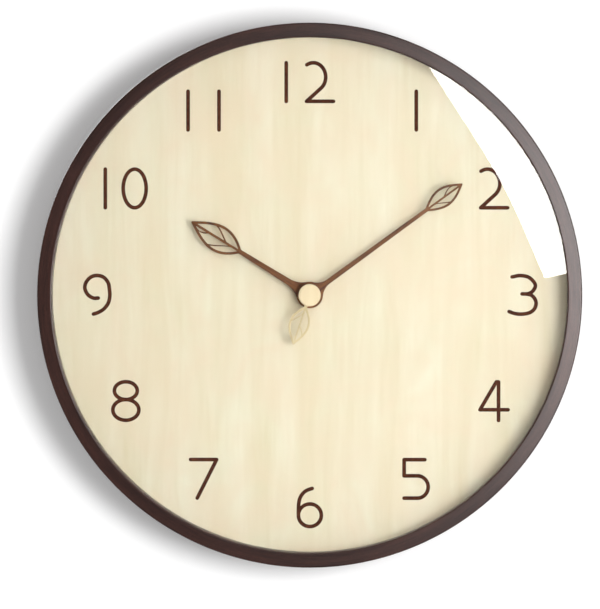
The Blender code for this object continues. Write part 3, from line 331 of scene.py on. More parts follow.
# %% Metals and plastics
def cloudy(name, dark, light, size=3 * MM, roughness=0.4, metallic=0.0, grit=0.3 * MM, relief=0.1,
           brushed=1.0, shine=0.5):
    """An even surface with soft clouds of colour and a fine relief, which brushed > 1 draws out along X."""
    material, tree, shader = new_material(name, roughness, metallic, shine=shine)
    dark, light = linear(*dark), linear(*light)
    clouds = noise(tree, placed_coordinates(tree, (size, size, size)))
    fine = noise(tree, placed_coordinates(tree, (grit * brushed, grit, grit)), detail=2)
    colour = ramp(tree, clouds, [(0.3, dark), (0.7, light)])
    coat(tree, shader, colour, fine, roughness, 0.07, relief, 0.03 * MM)
    return material


FINISHES = {
    "rim_stain": ring_wood("dark walnut stain", (36, 18, 15), (78, 46, 38)),
    "dial_veneer": straight_wood("pale basswood veneer", (202, 192, 160), (217, 212, 190), band=15 * MM,
                                 fibre=1.3 * MM, length=38 * MM, roughness=0.6, relief=0.04, bands=0.7,
                                 contrast=0.75, blotch=(211, 193, 166), wander=0.6),
    "raw_pine": straight_wood("raw softwood", (196, 158, 112), (228, 200, 158), turn=90, band=5 * MM,
                              fibre=0.6 * MM, roughness=0.75, relief=0.3),
    "zinc_steel": cloudy("zinc plate", (176, 180, 186), (206, 208, 210), metallic=1.0, roughness=0.34,
                         brushed=5),
    "brass": cloudy("turned brass", (196, 158, 88), (222, 188, 118), metallic=1.0, roughness=0.28, brushed=4),
    "black_plastic": cloudy("black moulded plastic", (24, 24, 26), (32, 32, 34), roughness=0.55, relief=0.35),
    "white_plastic": cloudy("white acetal", (224, 222, 212), (236, 235, 226), roughness=0.42),
    "knob_plastic": cloudy("cream plastic knob", (208, 203, 190), (222, 218, 206), roughness=0.45),
    "black_rubber": cloudy("black rubber", (22, 22, 22), (34, 34, 34), roughness=0.8, relief=0.4),
    "copper_wire": cloudy("enamelled copper wire", (168, 84, 44), (204, 112, 66), size=MM, metallic=1.0,
                          roughness=0.25),
    "soft_iron": cloudy("soft iron", (118, 118, 122), (146, 146, 150), metallic=1.0, roughness=0.45),
    "magnet": cloudy("sintered magnet", (64, 64, 68), (84, 84, 88), metallic=0.6, roughness=0.5),
    "green_board": cloudy("green circuit board", (22, 84, 48), (34, 108, 62), size=2 * MM, roughness=0.35),
    "battery_wrap": cloudy("battery wrap", (60, 92, 128), (72, 106, 142), roughness=0.3),
}
print(len(FINISHES), "finishes")

# %% [markdown]
# ## Clear glass
# A real pane mirrors about 4% of the light at each face and lets the rest through. Traced as
# glass it would also block the lamps from the dial, so the rays that only ask whether a lamp is
# visible meet a plain transparent shader in its place.

# %% Glass
def clear_glass():
    material, tree, shader = new_material("clear float glass", 0.0, colour=(0.99, 1.0, 0.995, 1.0))
    set_inputs(shader, {"Transmission Weight": 1.0, "IOR": 1.5})
    path = add_node(tree, "ShaderNodeLightPath")
    clear = add_node(tree, "ShaderNodeBsdfTransparent")
    surface_of_two(tree, path.outputs["Is Shadow Ray"], shader.outputs[0], clear.outputs[0])
    return material


FINISHES["glass"] = clear_glass()

# %% [markdown]
# ## Finishes for the hands and for single faces
# The grain of each hand runs along it, so each has its own finish, turned to the hand's place on the
# dial. The cut edges, the grooves, the dial's back and the band on the cell have finishes too.

# %% Hands and single faces
HAND_TURNS = {"hour_hand": 301.8, "minute_hand": 53.9, "second_hand": 198.5}


def walnut(node):
    return straight_wood(f"walnut, {node}", (60, 26, 6), (122, 72, 26), turn=HAND_TURNS[node],
                         band=3 * MM, fibre=0.35 * MM, length=9 * MM, relief=0.2, pores=0.9, bands=0.35,
                         contrast=0.25)


FINISHES["hand_walnut"] = walnut("hour_hand")
MINUTE_WALNUT = walnut("minute_hand")
PALE_HAND = straight_wood("pale birch, second hand", (180, 162, 122), (198, 182, 144),
                          turn=HAND_TURNS["second_hand"], band=2 * MM, fibre=0.3 * MM, length=12 * MM)
PALE_CAP = straight_wood("pale birch, cap", (200, 180, 146), (216, 200, 166), band=3 * MM,
                         fibre=0.35 * MM, length=12 * MM)
BURNT = {"roughness": 0.8, "grit": 0.2 * MM}
BROWNED_EDGE = cloudy("laser-browned edge", (48, 20, 8), (72, 34, 14), size=MM, shine=0.15, **BURNT)
TANNED_EDGE = cloudy("lightly browned edge", (156, 128, 84), (176, 148, 102), size=MM, shine=0.15, **BURNT)
SCORCH = cloudy("scorched groove", (54, 22, 12), (84, 44, 26), size=1.5 * MM, relief=0.3, shine=0.1, **BURNT)
DIAL_BACK = straight_wood("back of the dial board", (148, 112, 76), (172, 136, 96), band=8 * MM,
                          fibre=0.8 * MM, roughness=0.8, relief=0.2)
CELL_BAND = cloudy("copper-coloured band of the sleeve", (186, 120, 64), (204, 140, 82), metallic=0.7,
                   roughness=0.3)

for row in frame["record"]["subparts"]:
    node = frame["nodes"][row["node"]]
    node.data.materials.clear()
    node.data.materials.append(FINISHES[row["material_slot"]])

# %% [markdown]
# ## Helpers for meshes
# Each finished piece is an object at the origin with its place in its mesh. Turned pieces are made by
# sweeping an outline round an axis; `soften` first rounds its corners, because no real edge is sharp.

# %% Helpers for meshes
UPRIGHT = Matrix.Rotation(math.radians(90), 4, "X")
SHARP = math.radians(35)


def stand_up(mesh, place=(0, 0, 0)):
    """Turns a mesh that lies flat, so that its y points up and its z points forwards, and moves it."""
    mesh.transform(Matrix.Translation(place) @ UPRIGHT)


def mesh_of(bm, name):
    """A new mesh with what the bmesh holds, which is given back."""
    mesh = bpy.data.meshes.new(name)
    bm.to_mesh(mesh)
    bm.free()
    return mesh


def evaluated(thing):
    """An object's mesh as its modifiers or its curve settings make it."""
    return bpy.data.meshes.new_from_object(thing.evaluated_get(bpy.context.evaluated_depsgraph_get()))


def weld(mesh):
    """Joins doubled points, turns the faces outwards, and counts the edges that stay open."""
    bm = bmesh.new()
    bm.from_mesh(mesh)
    bmesh.ops.remove_doubles(bm, verts=bm.verts, dist=0.001 * MM)
    bmesh.ops.recalc_face_normals(bm, faces=bm.faces)
    bm.to_mesh(mesh)
    open_edges = sum(not e.is_manifold for e in bm.edges)
    bm.free()
    return open_edges


def keep_flats(mesh):
    """Marks the border of every face that looks straight forwards or back, so that it is shaded flat."""
    bm = bmesh.new()
    bm.from_mesh(mesh)
    for edge in bm.edges:
        flat = [abs(face.normal.y) > 0.99999 for face in edge.link_faces]
        if any(flat) and not all(flat):
            edge.smooth = False
    bm.to_mesh(mesh)
    bm.free()


def finish_piece(name, mesh, body, replaced, material=None, sharp=SHARP):
    """Wraps a mesh as a piece of the clock: its finish, its shading, what it rides on and stands for."""
    if material is not None:
        mesh.materials.clear()
        mesh.materials.append(material)
    mesh.shade_smooth()
    mesh.set_sharp_from_angle(angle=sharp)
    keep_flats(mesh)
    piece = add_object(name, mesh)
    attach(piece, body)
    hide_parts(*replaced)
    print(f"{name}: {len(mesh.polygons)} faces")


def soften(points, radius, steps=4):
    """An outline with each corner rounded, the radius limited by the sides next to it."""
    result = []
    for i, corner in enumerate(points):
        corner = Vector(corner)
        before, after = Vector(points[i - 1]), Vector(points[(i + 1) % len(points)])
        cut = min(radius, (before - corner).length * 0.45, (after - corner).length * 0.45)
        start = corner + (before - corner).normalized() * cut
        end = corner + (after - corner).normalized() * cut
        for step in range(steps + 1):
            t = step / steps
            result.append(start * (1 - t) ** 2 + corner * 2 * t * (1 - t) + end * t ** 2)
    return [tuple(p) for p in result]


def turned_mesh(name, outline, axle=(CENTRE_X, CENTRE_Z), segments=96):
    """Sweeps (radius, y) points round an axis along Y. Points on the axis become poles."""
    bm = bmesh.new()
    turns = [2 * math.pi * i / segments for i in range(segments)]
    rings = []
    for radius, y in outline:
        if radius < 1e-6:
            rings.append([bm.verts.new((axle[0], y, axle[1]))])
            continue
        rings.append([bm.verts.new((axle[0] + radius * math.sin(t), y, axle[1] + radius * math.cos(t)))
                      for t in turns])
    for a, b in zip(rings, rings[1:] + rings[:1]):
        for i in range(segments):
            j = (i + 1) % segments
            corners = [a[i % len(a)], a[j % len(a)], b[j % len(b)], b[i % len(b)]]
            corners = list(dict.fromkeys(corners))
            if len(corners) > 2:
                bm.faces.new(corners)
    bmesh.ops.recalc_face_normals(bm, faces=bm.faces)
    return mesh_of(bm, name)


def merged(node):
    """A node's shape as a bmesh, with its loose triangles joined and its flat faces made whole."""
    bm = bmesh.new()
    bm.from_mesh(frame["nodes"][node].data)
    bmesh.ops.remove_doubles(bm, verts=bm.verts, dist=0.002 * MM)
    bmesh.ops.dissolve_limit(bm, angle_limit=math.radians(0.5), verts=bm.verts, edges=bm.edges)
    return bm


def eased_mesh(node, edge):
    """A node's own shape with its hard edges rounded over."""
    bm = merged(node)
    hard = [e for e in bm.edges if len(e.link_faces) == 2 and e.calc_face_angle(0) > SHARP]
    bmesh.ops.bevel(bm, geom=hard, offset=edge, offset_type="OFFSET", segments=2, profile=0.5,
                    affect="EDGES", clamp_overlap=True)
    return mesh_of(bm, node)


def cut_away(blank, punch):
    """The blank's mesh with the punch's cut out of it. The cut faces have the punch's finish."""
    objects = [add_object("blank", blank), add_object("punch", punch)]
    cut = objects[0].modifiers.new("cut", "BOOLEAN")
    cut.object = objects[1]
    cut.operation = "DIFFERENCE"
    cut.solver = "EXACT"
    cut.use_self = True
    cut.material_mode = "TRANSFER"
    result = evaluated(objects[0])
    for thing in objects:
        bpy.data.objects.remove(thing)
    return result


# %% [markdown]
# ## A node tree that sweeps a profile round a circle
# The rim and the spacer are the same idea: one outline carried round a circle. A Geometry Nodes tree
# says that once, with the radius and the number of steps as its inputs. The outline comes in as a mesh
# of edges, x outwards from the circle, and leaves as a ring that lies flat and is then stood up.

# %% Tree: sweep a profile round
def new_tree(name, inputs):
    """An empty Geometry Nodes tree with a geometry input, the named inputs and a geometry output."""
    tree = bpy.data.node_groups.new(name, "GeometryNodeTree")
    tree.interface.new_socket("Geometry", in_out="INPUT", socket_type="NodeSocketGeometry")
    tree.interface.new_socket("Geometry", in_out="OUTPUT", socket_type="NodeSocketGeometry")
    for label, kind, value in inputs:
        socket = tree.interface.new_socket(label, in_out="INPUT", socket_type=kind)
        if value is not None:
            socket.default_value = value
    return tree, tree.nodes.new("NodeGroupInput"), tree.nodes.new("NodeGroupOutput")


def end_tree(tree, given, geometry, result):
    """Every tree ends the same way: instances made real, and the material set."""
    real = tree.nodes.new("GeometryNodeRealizeInstances")
    paint = tree.nodes.new("GeometryNodeSetMaterial")
    wire(tree, (geometry, real.inputs[0]), (real.outputs[0], paint.inputs["Geometry"]),
         (given.outputs["Material"], paint.inputs["Material"]), (paint.outputs[0], result.inputs[0]))


def run_tree(tree, mesh, values):
    """Runs a tree on a mesh, with values by input name, and returns the result as a plain mesh."""
    carrier = add_object("carrier", mesh)
    modifier = carrier.modifiers.new("tree", "NODES")
    modifier.node_group = tree
    for item in tree.interface.items_tree:
        if item.in_out == "INPUT" and item.name in values:
            modifier[item.identifier] = values[item.name]
    made = evaluated(carrier)
    bpy.data.objects.remove(carrier)
    return made


def edge_mesh(name, chains, closed=False):
    """A mesh of edges only, from lists of flat points."""
    points, edges = [], []
    for chain in chains:
        first = len(points)
        points += [(x, y, 0.0) for x, y in chain]
        edges += [(i, i + 1) for i in range(first, len(points) - 1)]
        if closed:
            edges.append((len(points) - 1, first))
    mesh = bpy.data.meshes.new(name)
    mesh.from_pydata(points, edges, [])
    return mesh


def sweep_tree():
    tree, given, result = new_tree("sweep round a circle", [
        ("Radius", "NodeSocketFloat", 0.15), ("Steps", "NodeSocketInt", 96),
        ("Material", "NodeSocketMaterial", None)])
    circle = tree.nodes.new("GeometryNodeCurvePrimitiveCircle")
    profile = tree.nodes.new("GeometryNodeMeshToCurve")
    sweep = tree.nodes.new("GeometryNodeCurveToMesh")
    wire(tree, (given.outputs["Steps"], circle.inputs["Resolution"]),
         (given.outputs["Radius"], circle.inputs["Radius"]),
         (given.outputs["Geometry"], profile.inputs["Mesh"]),
         (circle.outputs["Curve"], sweep.inputs["Curve"]),
         (profile.outputs["Curve"], sweep.inputs["Profile Curve"]))
    end_tree(tree, given, sweep.outputs["Mesh"], result)
    return tree


SWEEP = sweep_tree()
RING_STEPS = 288


def swept_ring(name, outline, material):
    """A ring from a closed (radius, y) outline, placed on the dial's axis."""
    flat = [(r - RIM_R, y) for r, y in outline]
    mesh = run_tree(SWEEP, edge_mesh(name, [flat], closed=True),
                    {"Radius": RIM_R, "Steps": RING_STEPS, "Material": material})
    stand_up(mesh, (CENTRE_X, 0, CENTRE_Z))
    print(f"{name}: {weld(mesh)} open edges")
    return mesh


# %% [markdown]
# ## The rim
# A bent strip with a lip turned on its front, which keeps the glass in. The face is flat, with edges
# rounded by a light sanding, the outer one more than the inner. The step behind the lip is read from
# the model's points straight above its axis.

# %% Rim
rim_inner_r = radii("rim")[0]
rim_wall = [(p.z - CENTRE_Z, p.y) for p in points_of("rim")
            if abs(p.x - CENTRE_X) < 0.01 * MM and p.z > CENTRE_Z]
LEAST_WALL = 3 * MM
rabbet_r = max(round(r, 6) for r, y in rim_wall if r < RIM_R - LEAST_WALL)
lip_rear = min(round(y, 6) for r, y in rim_wall if r < rabbet_r - MM and y > rim_low.y + MM)
print(f"lip bore {rim_inner_r / MM:.1f}, rabbet {rabbet_r / MM:.1f}, lip rear {-lip_rear / MM:.1f}")
SANDED_FACE, SANDED_SIDE, SANDED_ROUND = 0.4 * MM, 0.8 * MM, 0.8 * MM
rim_outline = soften([
    (rim_inner_r, rim_low.y), (RIM_R - SANDED_FACE, rim_low.y), (RIM_R, rim_low.y + SANDED_SIDE),
    (RIM_R, rim_high.y), (rabbet_r, rim_high.y), (rabbet_r, lip_rear), (rim_inner_r, lip_rear)], SANDED_ROUND)
finish_piece("rim_ring", swept_ring("rim_ring", rim_outline, FINISHES["rim_stain"]),
             "clock_body", ["rim"])

# %% [markdown]
# ## Spacer and glass
# The spacer is the inner wall between dial and glass. The pane's edge is ground to a small chamfer.

# %% Spacer sleeve and pane
def ring_box(node, edge):
    """A rounded rectangular outline from a ring node's own radii and depths."""
    (inner, outer), (front, rear) = radii(node), depths(node)
    return soften([(inner, front), (outer, front), (outer, rear), (inner, rear)], edge, 2)


SLEEVE_EDGE = 0.2 * MM
sleeve_mesh = swept_ring("spacer_sleeve", ring_box("spacer_ring", SLEEVE_EDGE), FINISHES["rim_stain"])
finish_piece("spacer_sleeve", sleeve_mesh, "clock_body", ["spacer_ring"])
glass_r = radii("glass")[1]
chamfer = 0.35 * MM
pane = [(0, GLASS_FRONT), (glass_r - chamfer, GLASS_FRONT), (glass_r, GLASS_FRONT + chamfer),
        (glass_r, GLASS_REAR - chamfer), (glass_r - chamfer, GLASS_REAR), (0, GLASS_REAR)]
finish_piece("glass_pane", turned_mesh("glass_pane", pane, segments=192), "clock_body", ["glass"],
             FINISHES["glass"])

# %% [markdown]
# ## Numerals as single strokes
# The numerals are drawn with one round-ended stroke of even width, so each digit is a short list of
# centre lines in a unit box: straight runs, arcs of an ellipse, and a few curves through points.

# %% Digits as centre lines
def arc(cx, cz, rx, rz, start, end, steps=28):
    """Points on an ellipse, from one angle to another, in degrees from the right, anticlockwise."""
    turns = [math.radians(start + (end - start) * i / steps) for i in range(steps + 1)]
    return [(cx + rx * math.cos(t), cz + rz * math.sin(t)) for t in turns]


def between(a, b, c, d, steps):
    """Points on the smooth curve from b to c, with a and d as their neighbours on either side."""
    result = []
    for step in range(steps):
        t = step / steps
        result.append(0.5 * (2 * b + (c - a) * t + (2 * a - 5 * b + 4 * c - d) * t * t
                             + (3 * b - a - 3 * c + d) * t ** 3))
    return result


def through(points, steps=6):
    """A smooth curve through the given points."""
    points = [Vector(p) for p in points]
    ends = [2 * points[0] - points[1], *points, 2 * points[-1] - points[-2]]
    result = []
    for four in zip(ends, ends[1:], ends[2:], ends[3:]):
        result += between(*four, steps)
    return [tuple(p) for p in result + [points[-1]]]


DIGITS = {
    "0": [arc(0.5, 0.5, 0.5, 0.5, 90, 450, 56)],
    "1": [[(0.5, 1), (0.5, 0)]],
    "2": [arc(0.25, 0.63, 0.46, 0.37, 121, -46), [(0.57, 0.364), (0, 0)], [(0, 0), (1, 0)]],
    "3": [through([(0.11, 0.965), (0.42, 1), (0.75, 0.945), (0.97, 0.765), (0.88, 0.60), (0.70, 0.53),
                   (0.48, 0.525)]),
          through([(0.62, 0.525), (0.81, 0.495), (0.95, 0.40), (1, 0.265), (0.92, 0.12), (0.73, 0.03),
                   (0.44, 0), (0.2, 0.018), (0, 0.066)])],
    "4": [[(0.66, 1), (0.66, 0)], [(1, 0.277), (0, 0.277)], [(0, 0.277), (0.58, 1)], [(0.58, 1), (0.66, 1)]],
    "5": [[(0.86, 1), (0, 1)], [(0, 1), (0, 0.58)],
          [(0, 0.58)] + arc(0.55, 0.29, 0.45, 0.29, 90, -90) + [(0, 0)]],
    "6": [arc(0.5, 0.293, 0.5, 0.293, 180, 540, 48),
          through([(0.60, 0.99), (0.32, 0.925), (0.11, 0.79), (0.015, 0.60), (0, 0.30)])],
    "7": [[(0, 1), (1, 1)], [(1, 1), (0.255, 0)]],
    "8": [arc(0.5, 0.7685, 0.44, 0.2315, 90, 450, 44), arc(0.5, 0.2685, 0.5, 0.2685, 90, 450, 48)],
    "9": [through([(0.535, 0.414), (0.34, 0.414), (0.12, 0.505), (0, 0.667), (0.055, 0.828),
                   (0.247, 0.96), (0.503, 1), (0.76, 0.95), (0.936, 0.808), (0.984, 0.646), (1, 0.465),
                   (0.936, 0.283), (0.76, 0.131), (0.535, 0.04), (0.343, 0)])],
}
DIGIT_WIDTH = {"0": 14.8, "1": 2.1, "2": 17.0, "3": 17.0, "4": 17.6, "5": 15.4, "6": 14.8, "7": 16.5,
               "8": 16.5, "9": 15.9}
DIGIT_HEIGHT = 23.4
STROKE = 2.1
PAIR_GAP = {10: 7.8, 11: 15.0, 12: 9.1}
NUMERAL_R = 117.5


def numeral_strokes():
    """All twelve numerals, each centred on its own hour, as chains of (x, z) in metres."""
    chains = []
    height = DIGIT_HEIGHT - STROKE
    for hour in range(1, 13):
        digits = str(hour)
        gap = PAIR_GAP.get(hour, 0)
        turn = math.radians(30 * hour)
        left = NUMERAL_R * math.sin(turn) - (sum(DIGIT_WIDTH[d] for d in digits) + gap) / 2 + STROKE / 2
        bottom = NUMERAL_R * math.cos(turn) - height / 2
        for digit in digits:
            width = DIGIT_WIDTH[digit] - STROKE
            for chain in DIGITS[digit]:
                chains.append([((left + x * width) * MM, (bottom + z * height) * MM) for x, z in chain])
            left += DIGIT_WIDTH[digit] + gap
    return chains


STROKES = numeral_strokes()
print(len(STROKES), "strokes")

# %% [markdown]
# ## A node tree that turns strokes into a cutter
# The numerals are burnt into the veneer, a fraction of a millimetre deep. A second tree gives each centre
# line a rectangular section and puts a round post on both its ends, and the result is cut out of the
# dial, so the numerals are real grooves that catch a little shadow.

# %% Tree: engraving cutter
def engraving_tree():
    tree, given, result = new_tree("engraving cutter", [
        ("Stroke width", "NodeSocketFloat", 0.002), ("Height", "NodeSocketFloat", 0.001),
        ("Material", "NodeSocketMaterial", None)])
    line = tree.nodes.new("GeometryNodeMeshToCurve")
    level = add_node(tree, "GeometryNodeSetCurveNormal", mode="Z_UP")
    section = tree.nodes.new("GeometryNodeCurvePrimitiveQuadrilateral")
    body = tree.nodes.new("GeometryNodeCurveToMesh")
    body.inputs["Fill Caps"].default_value = True
    ends = tree.nodes.new("GeometryNodeCurveEndpointSelection")
    half = calculate(tree, "DIVIDE", given.outputs["Stroke width"], 2)
    post = add_node(tree, "GeometryNodeMeshCylinder", Vertices=24)
    posts = tree.nodes.new("GeometryNodeInstanceOnPoints")
    join = tree.nodes.new("GeometryNodeJoinGeometry")
    wire(tree, (given.outputs["Geometry"], line.inputs["Mesh"]), (line.outputs[0], level.inputs[0]),
         (level.outputs[0], body.inputs["Curve"]), (section.outputs[0], body.inputs["Profile Curve"]),
         (given.outputs["Stroke width"], section.inputs["Width"]),
         (given.outputs["Height"], section.inputs["Height"]), (half, post.inputs["Radius"]),
         (given.outputs["Height"], post.inputs["Depth"]), (level.outputs[0], posts.inputs["Points"]),
         (post.outputs["Mesh"], posts.inputs["Instance"]), (ends.outputs[0], posts.inputs["Selection"]),
         (body.outputs[0], join.inputs[0]), (posts.outputs[0], join.inputs[0]))
    end_tree(tree, given, join.outputs[0], result)
    return tree


ENGRAVE_DEPTH = 0.22 * MM
CUTTER_HEIGHT = 1.0 * MM
cutter_mesh = run_tree(engraving_tree(), edge_mesh("numeral lines", STROKES), {
    "Stroke width": STROKE * MM, "Height": CUTTER_HEIGHT, "Material": SCORCH})
stand_up(cutter_mesh, (CENTRE_X, DIAL_FRONT + ENGRAVE_DEPTH - CUTTER_HEIGHT / 2, CENTRE_Z))

# %% Dial panel with the numerals cut in
PANEL_EDGE = 0.15 * MM
panel_mesh = turned_mesh("dial_panel", ring_box("dial_board", PANEL_EDGE), segments=192)
for finish in (FINISHES["dial_veneer"], DIAL_BACK):
    panel_mesh.materials.append(finish)
for face in panel_mesh.polygons:
    face.material_index = 1 if face.normal.y > -0.2 else 0
dial_mesh = cut_away(panel_mesh, cutter_mesh)
print("dial materials:", [m.name for m in dial_mesh.materials])
finish_piece("dial_panel", dial_mesh, "clock_body", ["dial_board"], sharp=math.radians(30))

# %% [markdown]
# ## Hands cut from sheet
# The hands are laser-cut from thin wood. Their outlines are taken from the model's flat front face,
# rounded between the true corners, and then filled, given their thickness and a softened edge by
# Blender's own 2D curves, which also keep the openings between the veins.

# %% Helpers for flat cut pieces
def front_loops(node):
    """The closed outlines of a node's front face, as lists of (x, z)."""
    bm = merged(node)
    front = min(v.co.y for v in bm.verts)
    faces = {f for f in bm.faces if f.normal.y < -0.9 and abs(f.calc_center_median().y - front) < 0.01 * MM}
    border = {e for e in bm.edges if sum(f in faces for f in e.link_faces) == 1}
    loops = []
    while border:
        edge = border.pop()
        start, here = edge.verts
        loop = [start, here]
        while here is not start:
            edge = next(e for e in here.link_edges if e in border)
            border.discard(edge)
            here = edge.other_vert(here)
            loop.append(here)
        loops.append([Vector((v.co.x, v.co.z)) for v in loop[:-1]])
    bm.free()
    return loops


def rounded_loop(loop, corner=30, cuts=4):
    """A smooth curve through an outline's points, left straight at long sides and broken at corners."""
    count = len(loop)

    def turn(i):
        a, b, c = loop[i - 1], loop[i % count], loop[(i + 1) % count]
        return abs((b - a).angle(c - b, 0))

    sharp = [turn(i) > math.radians(corner) for i in range(count)]
    lengths = [(loop[(i + 1) % count] - loop[i]).length for i in range(count)]
    result = []
    for i in range(count):
        j = (i + 1) % count
        b, c = loop[i], loop[j]
        near = [lengths[k] for k, stop in ((i - 1, sharp[i]), (j, sharp[j])) if not stop]
        if not near or lengths[i] > 2.5 * min(near):
            result.append(b)
            continue
        a = loop[i - 1] if not sharp[i] else 2 * b - c
        d = loop[(j + 1) % count] if not sharp[j] else 2 * c - b
        result += between(a, b, c, d, cuts)
    return result


def cut_sheet(name, loops, front, rear, edge):
    """A flat piece with a rounded edge, filled between its outlines."""
    curve = bpy.data.curves.new(name, "CURVE")
    curve.dimensions = "2D"
    curve.fill_mode = "BOTH"
    curve.extrude = (rear - front) / 2 - edge
    curve.bevel_depth = edge
    curve.bevel_resolution = 2
    curve.offset = -edge
    for loop in loops:
        spline = curve.splines.new("POLY")
        spline.points.add(len(loop) - 1)
        spline.points.foreach_set("co", [c for p in loop for c in (p.x, p.y, 0, 1)])
        spline.use_cyclic_u = True
    flat = add_object(name, curve)
    mesh = evaluated(flat)
    bpy.data.objects.remove(flat)
    stand_up(mesh, (0, (front + rear) / 2, 0))
    print(f"{name}: {weld(mesh)} open edges")
    return mesh


def make_hand(hand, face_finish, edge_finish, edge):
    """A hand from its model's outline, its face in one finish and its cut edge in another."""
    name = f"{hand}_leaf"
    mesh = cut_sheet(name, [rounded_loop(loop) for loop in front_loops(hand)], *depths(hand), edge)
    for finish in (face_finish, edge_finish):
        mesh.materials.append(finish)
    for face in mesh.polygons:
        face.material_index = 0 if abs(face.normal.y) > 0.9 else 1
    finish_piece(name, mesh, f"{hand}_group", [hand], sharp=math.radians(50))


# %% Hour, minute and second hand
make_hand("hour_hand", FINISHES["hand_walnut"], BROWNED_EDGE, 0.16 * MM)
make_hand("minute_hand", MINUTE_WALNUT, BROWNED_EDGE, 0.16 * MM)
make_hand("second_hand", PALE_HAND, TANNED_EDGE, 0.12 * MM)

# %% [markdown]
# ## The cap over the hub
# A disc of pale wood with a slightly crowned face hides the end of the arbor.

# %% Cap
cap_front, cap_rear = depths("hand_cap")
cap_r = radii("hand_cap")[1]
crown, shoulder, rear_edge = 0.18 * MM, 0.3 * MM, 0.15 * MM
crown_end = cap_front + crown + 0.05 * MM
dome = [(cap_r * k / 8, cap_front + crown * (k / 8) ** 2) for k in range(8)]
cap_outline = dome + [(cap_r - shoulder, crown_end), (cap_r, crown_end + shoulder),
                      (cap_r, cap_rear - rear_edge), (cap_r - rear_edge, cap_rear), (0, cap_rear)]
finish_piece("cap_disc", turned_mesh("cap_disc", cap_outline, segments=128), "second_hand_group",
             ["hand_cap"], PALE_CAP)

# %% [markdown]
# ## Edges of the working side
# Stamped and moulded parts have no sharp edges. The parts seen from behind keep the model's own
# shape, and a bevel rounds their edges over so that they catch the light.

# %% Eased copies of the parts behind the dial
EASED = {
    "hanger_block": ("raw_pine", 0.6 * MM, "clock_body"),
    "hanger_plate": ("zinc_steel", 0.2 * MM, "clock_body"),
    "front_housing": ("black_plastic", 0.3 * MM, "clock_body"),
    "back_cover": ("black_plastic", 0.3 * MM, "clock_body"),
    "hex_nut": ("brass", 0.2 * MM, "clock_body"),
    "setting_knob": ("knob_plastic", 0.15 * MM, "setting_knob_body"),
}
for number in range(1, 5):
    EASED[f"dial_clip_{number}"] = ("zinc_steel", 0.25 * MM, "clock_body")
for node, (slot, edge, body) in EASED.items():
    finish_piece(f"{node}_eased", eased_mesh(node, edge), body, [node], FINISHES[slot])

# %% [markdown]
# ## Screws, all from one pattern
# A pan-head screw is turned once, its cross recess is cut with a plus-shaped punch, and a node tree then
# sets copies of it where the model has its screws. Each place carries the direction that its head
# faces: the clip screws look at the dial's axis, the hanger screws look at the wall.

# %% Tree: instances that face a given way
def facing_tree():
    tree, given, result = new_tree("copies that face a way", [
        ("Pattern", "NodeSocketObject", None), ("Material", "NodeSocketMaterial", None)])
    pattern = tree.nodes.new("GeometryNodeObjectInfo")
    facing = add_node(tree, "GeometryNodeInputNamedAttribute", data_type="FLOAT_VECTOR", Name="facing")
    turn = add_node(tree, "FunctionNodeAlignRotationToVector", axis="Z")
    copies = tree.nodes.new("GeometryNodeInstanceOnPoints")
    wire(tree, (given.outputs["Geometry"], copies.inputs["Points"]),
         (given.outputs["Pattern"], pattern.inputs["Object"]),
         (pattern.outputs["Geometry"], copies.inputs["Instance"]),
         (facing.outputs["Attribute"], turn.inputs["Vector"]), (turn.outputs[0], copies.inputs["Rotation"]))
    end_tree(tree, given, copies.outputs[0], result)
    return tree


FACING = facing_tree()

# %% Pan-head screws
def band_faces(count):
    """The faces between two closed rows with this many points each, the second listed after the first."""
    return [(i, (i + 1) % count, (i + 1) % count + count, i + count) for i in range(count)]


PITCH = 1.0 * MM
THREAD_START = 0.5 * MM
POINT_LENGTH = 2 * MM
ROOT = 0.75


def screw_mesh(head_r, head_high, shaft_r, length):
    """A pan-head screw along Z, the top of its head at the origin. ROOT is the thread's inner share."""
    dome = [(head_r * math.sin(t), -head_high * 0.6 * (1 - math.cos(t)))
            for t in (math.radians(90 * k / 8) for k in range(9))]
    root_r = shaft_r * ROOT
    outline = dome + [(head_r, -head_high * 0.9), (head_r * 0.96, -head_high), (root_r, -head_high)]
    start = head_high + THREAD_START
    for k in range(int((length - start - POINT_LENGTH) / PITCH)):
        z = -start - k * PITCH
        outline += [(root_r, z), (shaft_r, z - PITCH * 0.35), (root_r, z - PITCH * 0.7)]
    outline += [(shaft_r * 0.7, -length + POINT_LENGTH), (0, -length)]
    mesh = turned_mesh("screw", outline, axle=(0, 0), segments=32)
    stand_up(mesh)
    arm, half = head_r * 0.55, head_r * 0.10
    plus = [(half, arm), (half, half), (arm, half), (arm, -half), (half, -half), (half, -arm)]
    plus += [(-x, -y) for x, y in plus]
    points = [(x, y, head_high) for x, y in plus]
    points += [(x * 0.8, y * 0.8, -head_high * 0.55) for x, y in plus]
    count = len(plus)
    punch = bpy.data.meshes.new("plus punch")
    punch.from_pydata(points, [], [range(count), range(count, 2 * count), *band_faces(count)])
    weld(punch)
    return cut_away(mesh, punch)


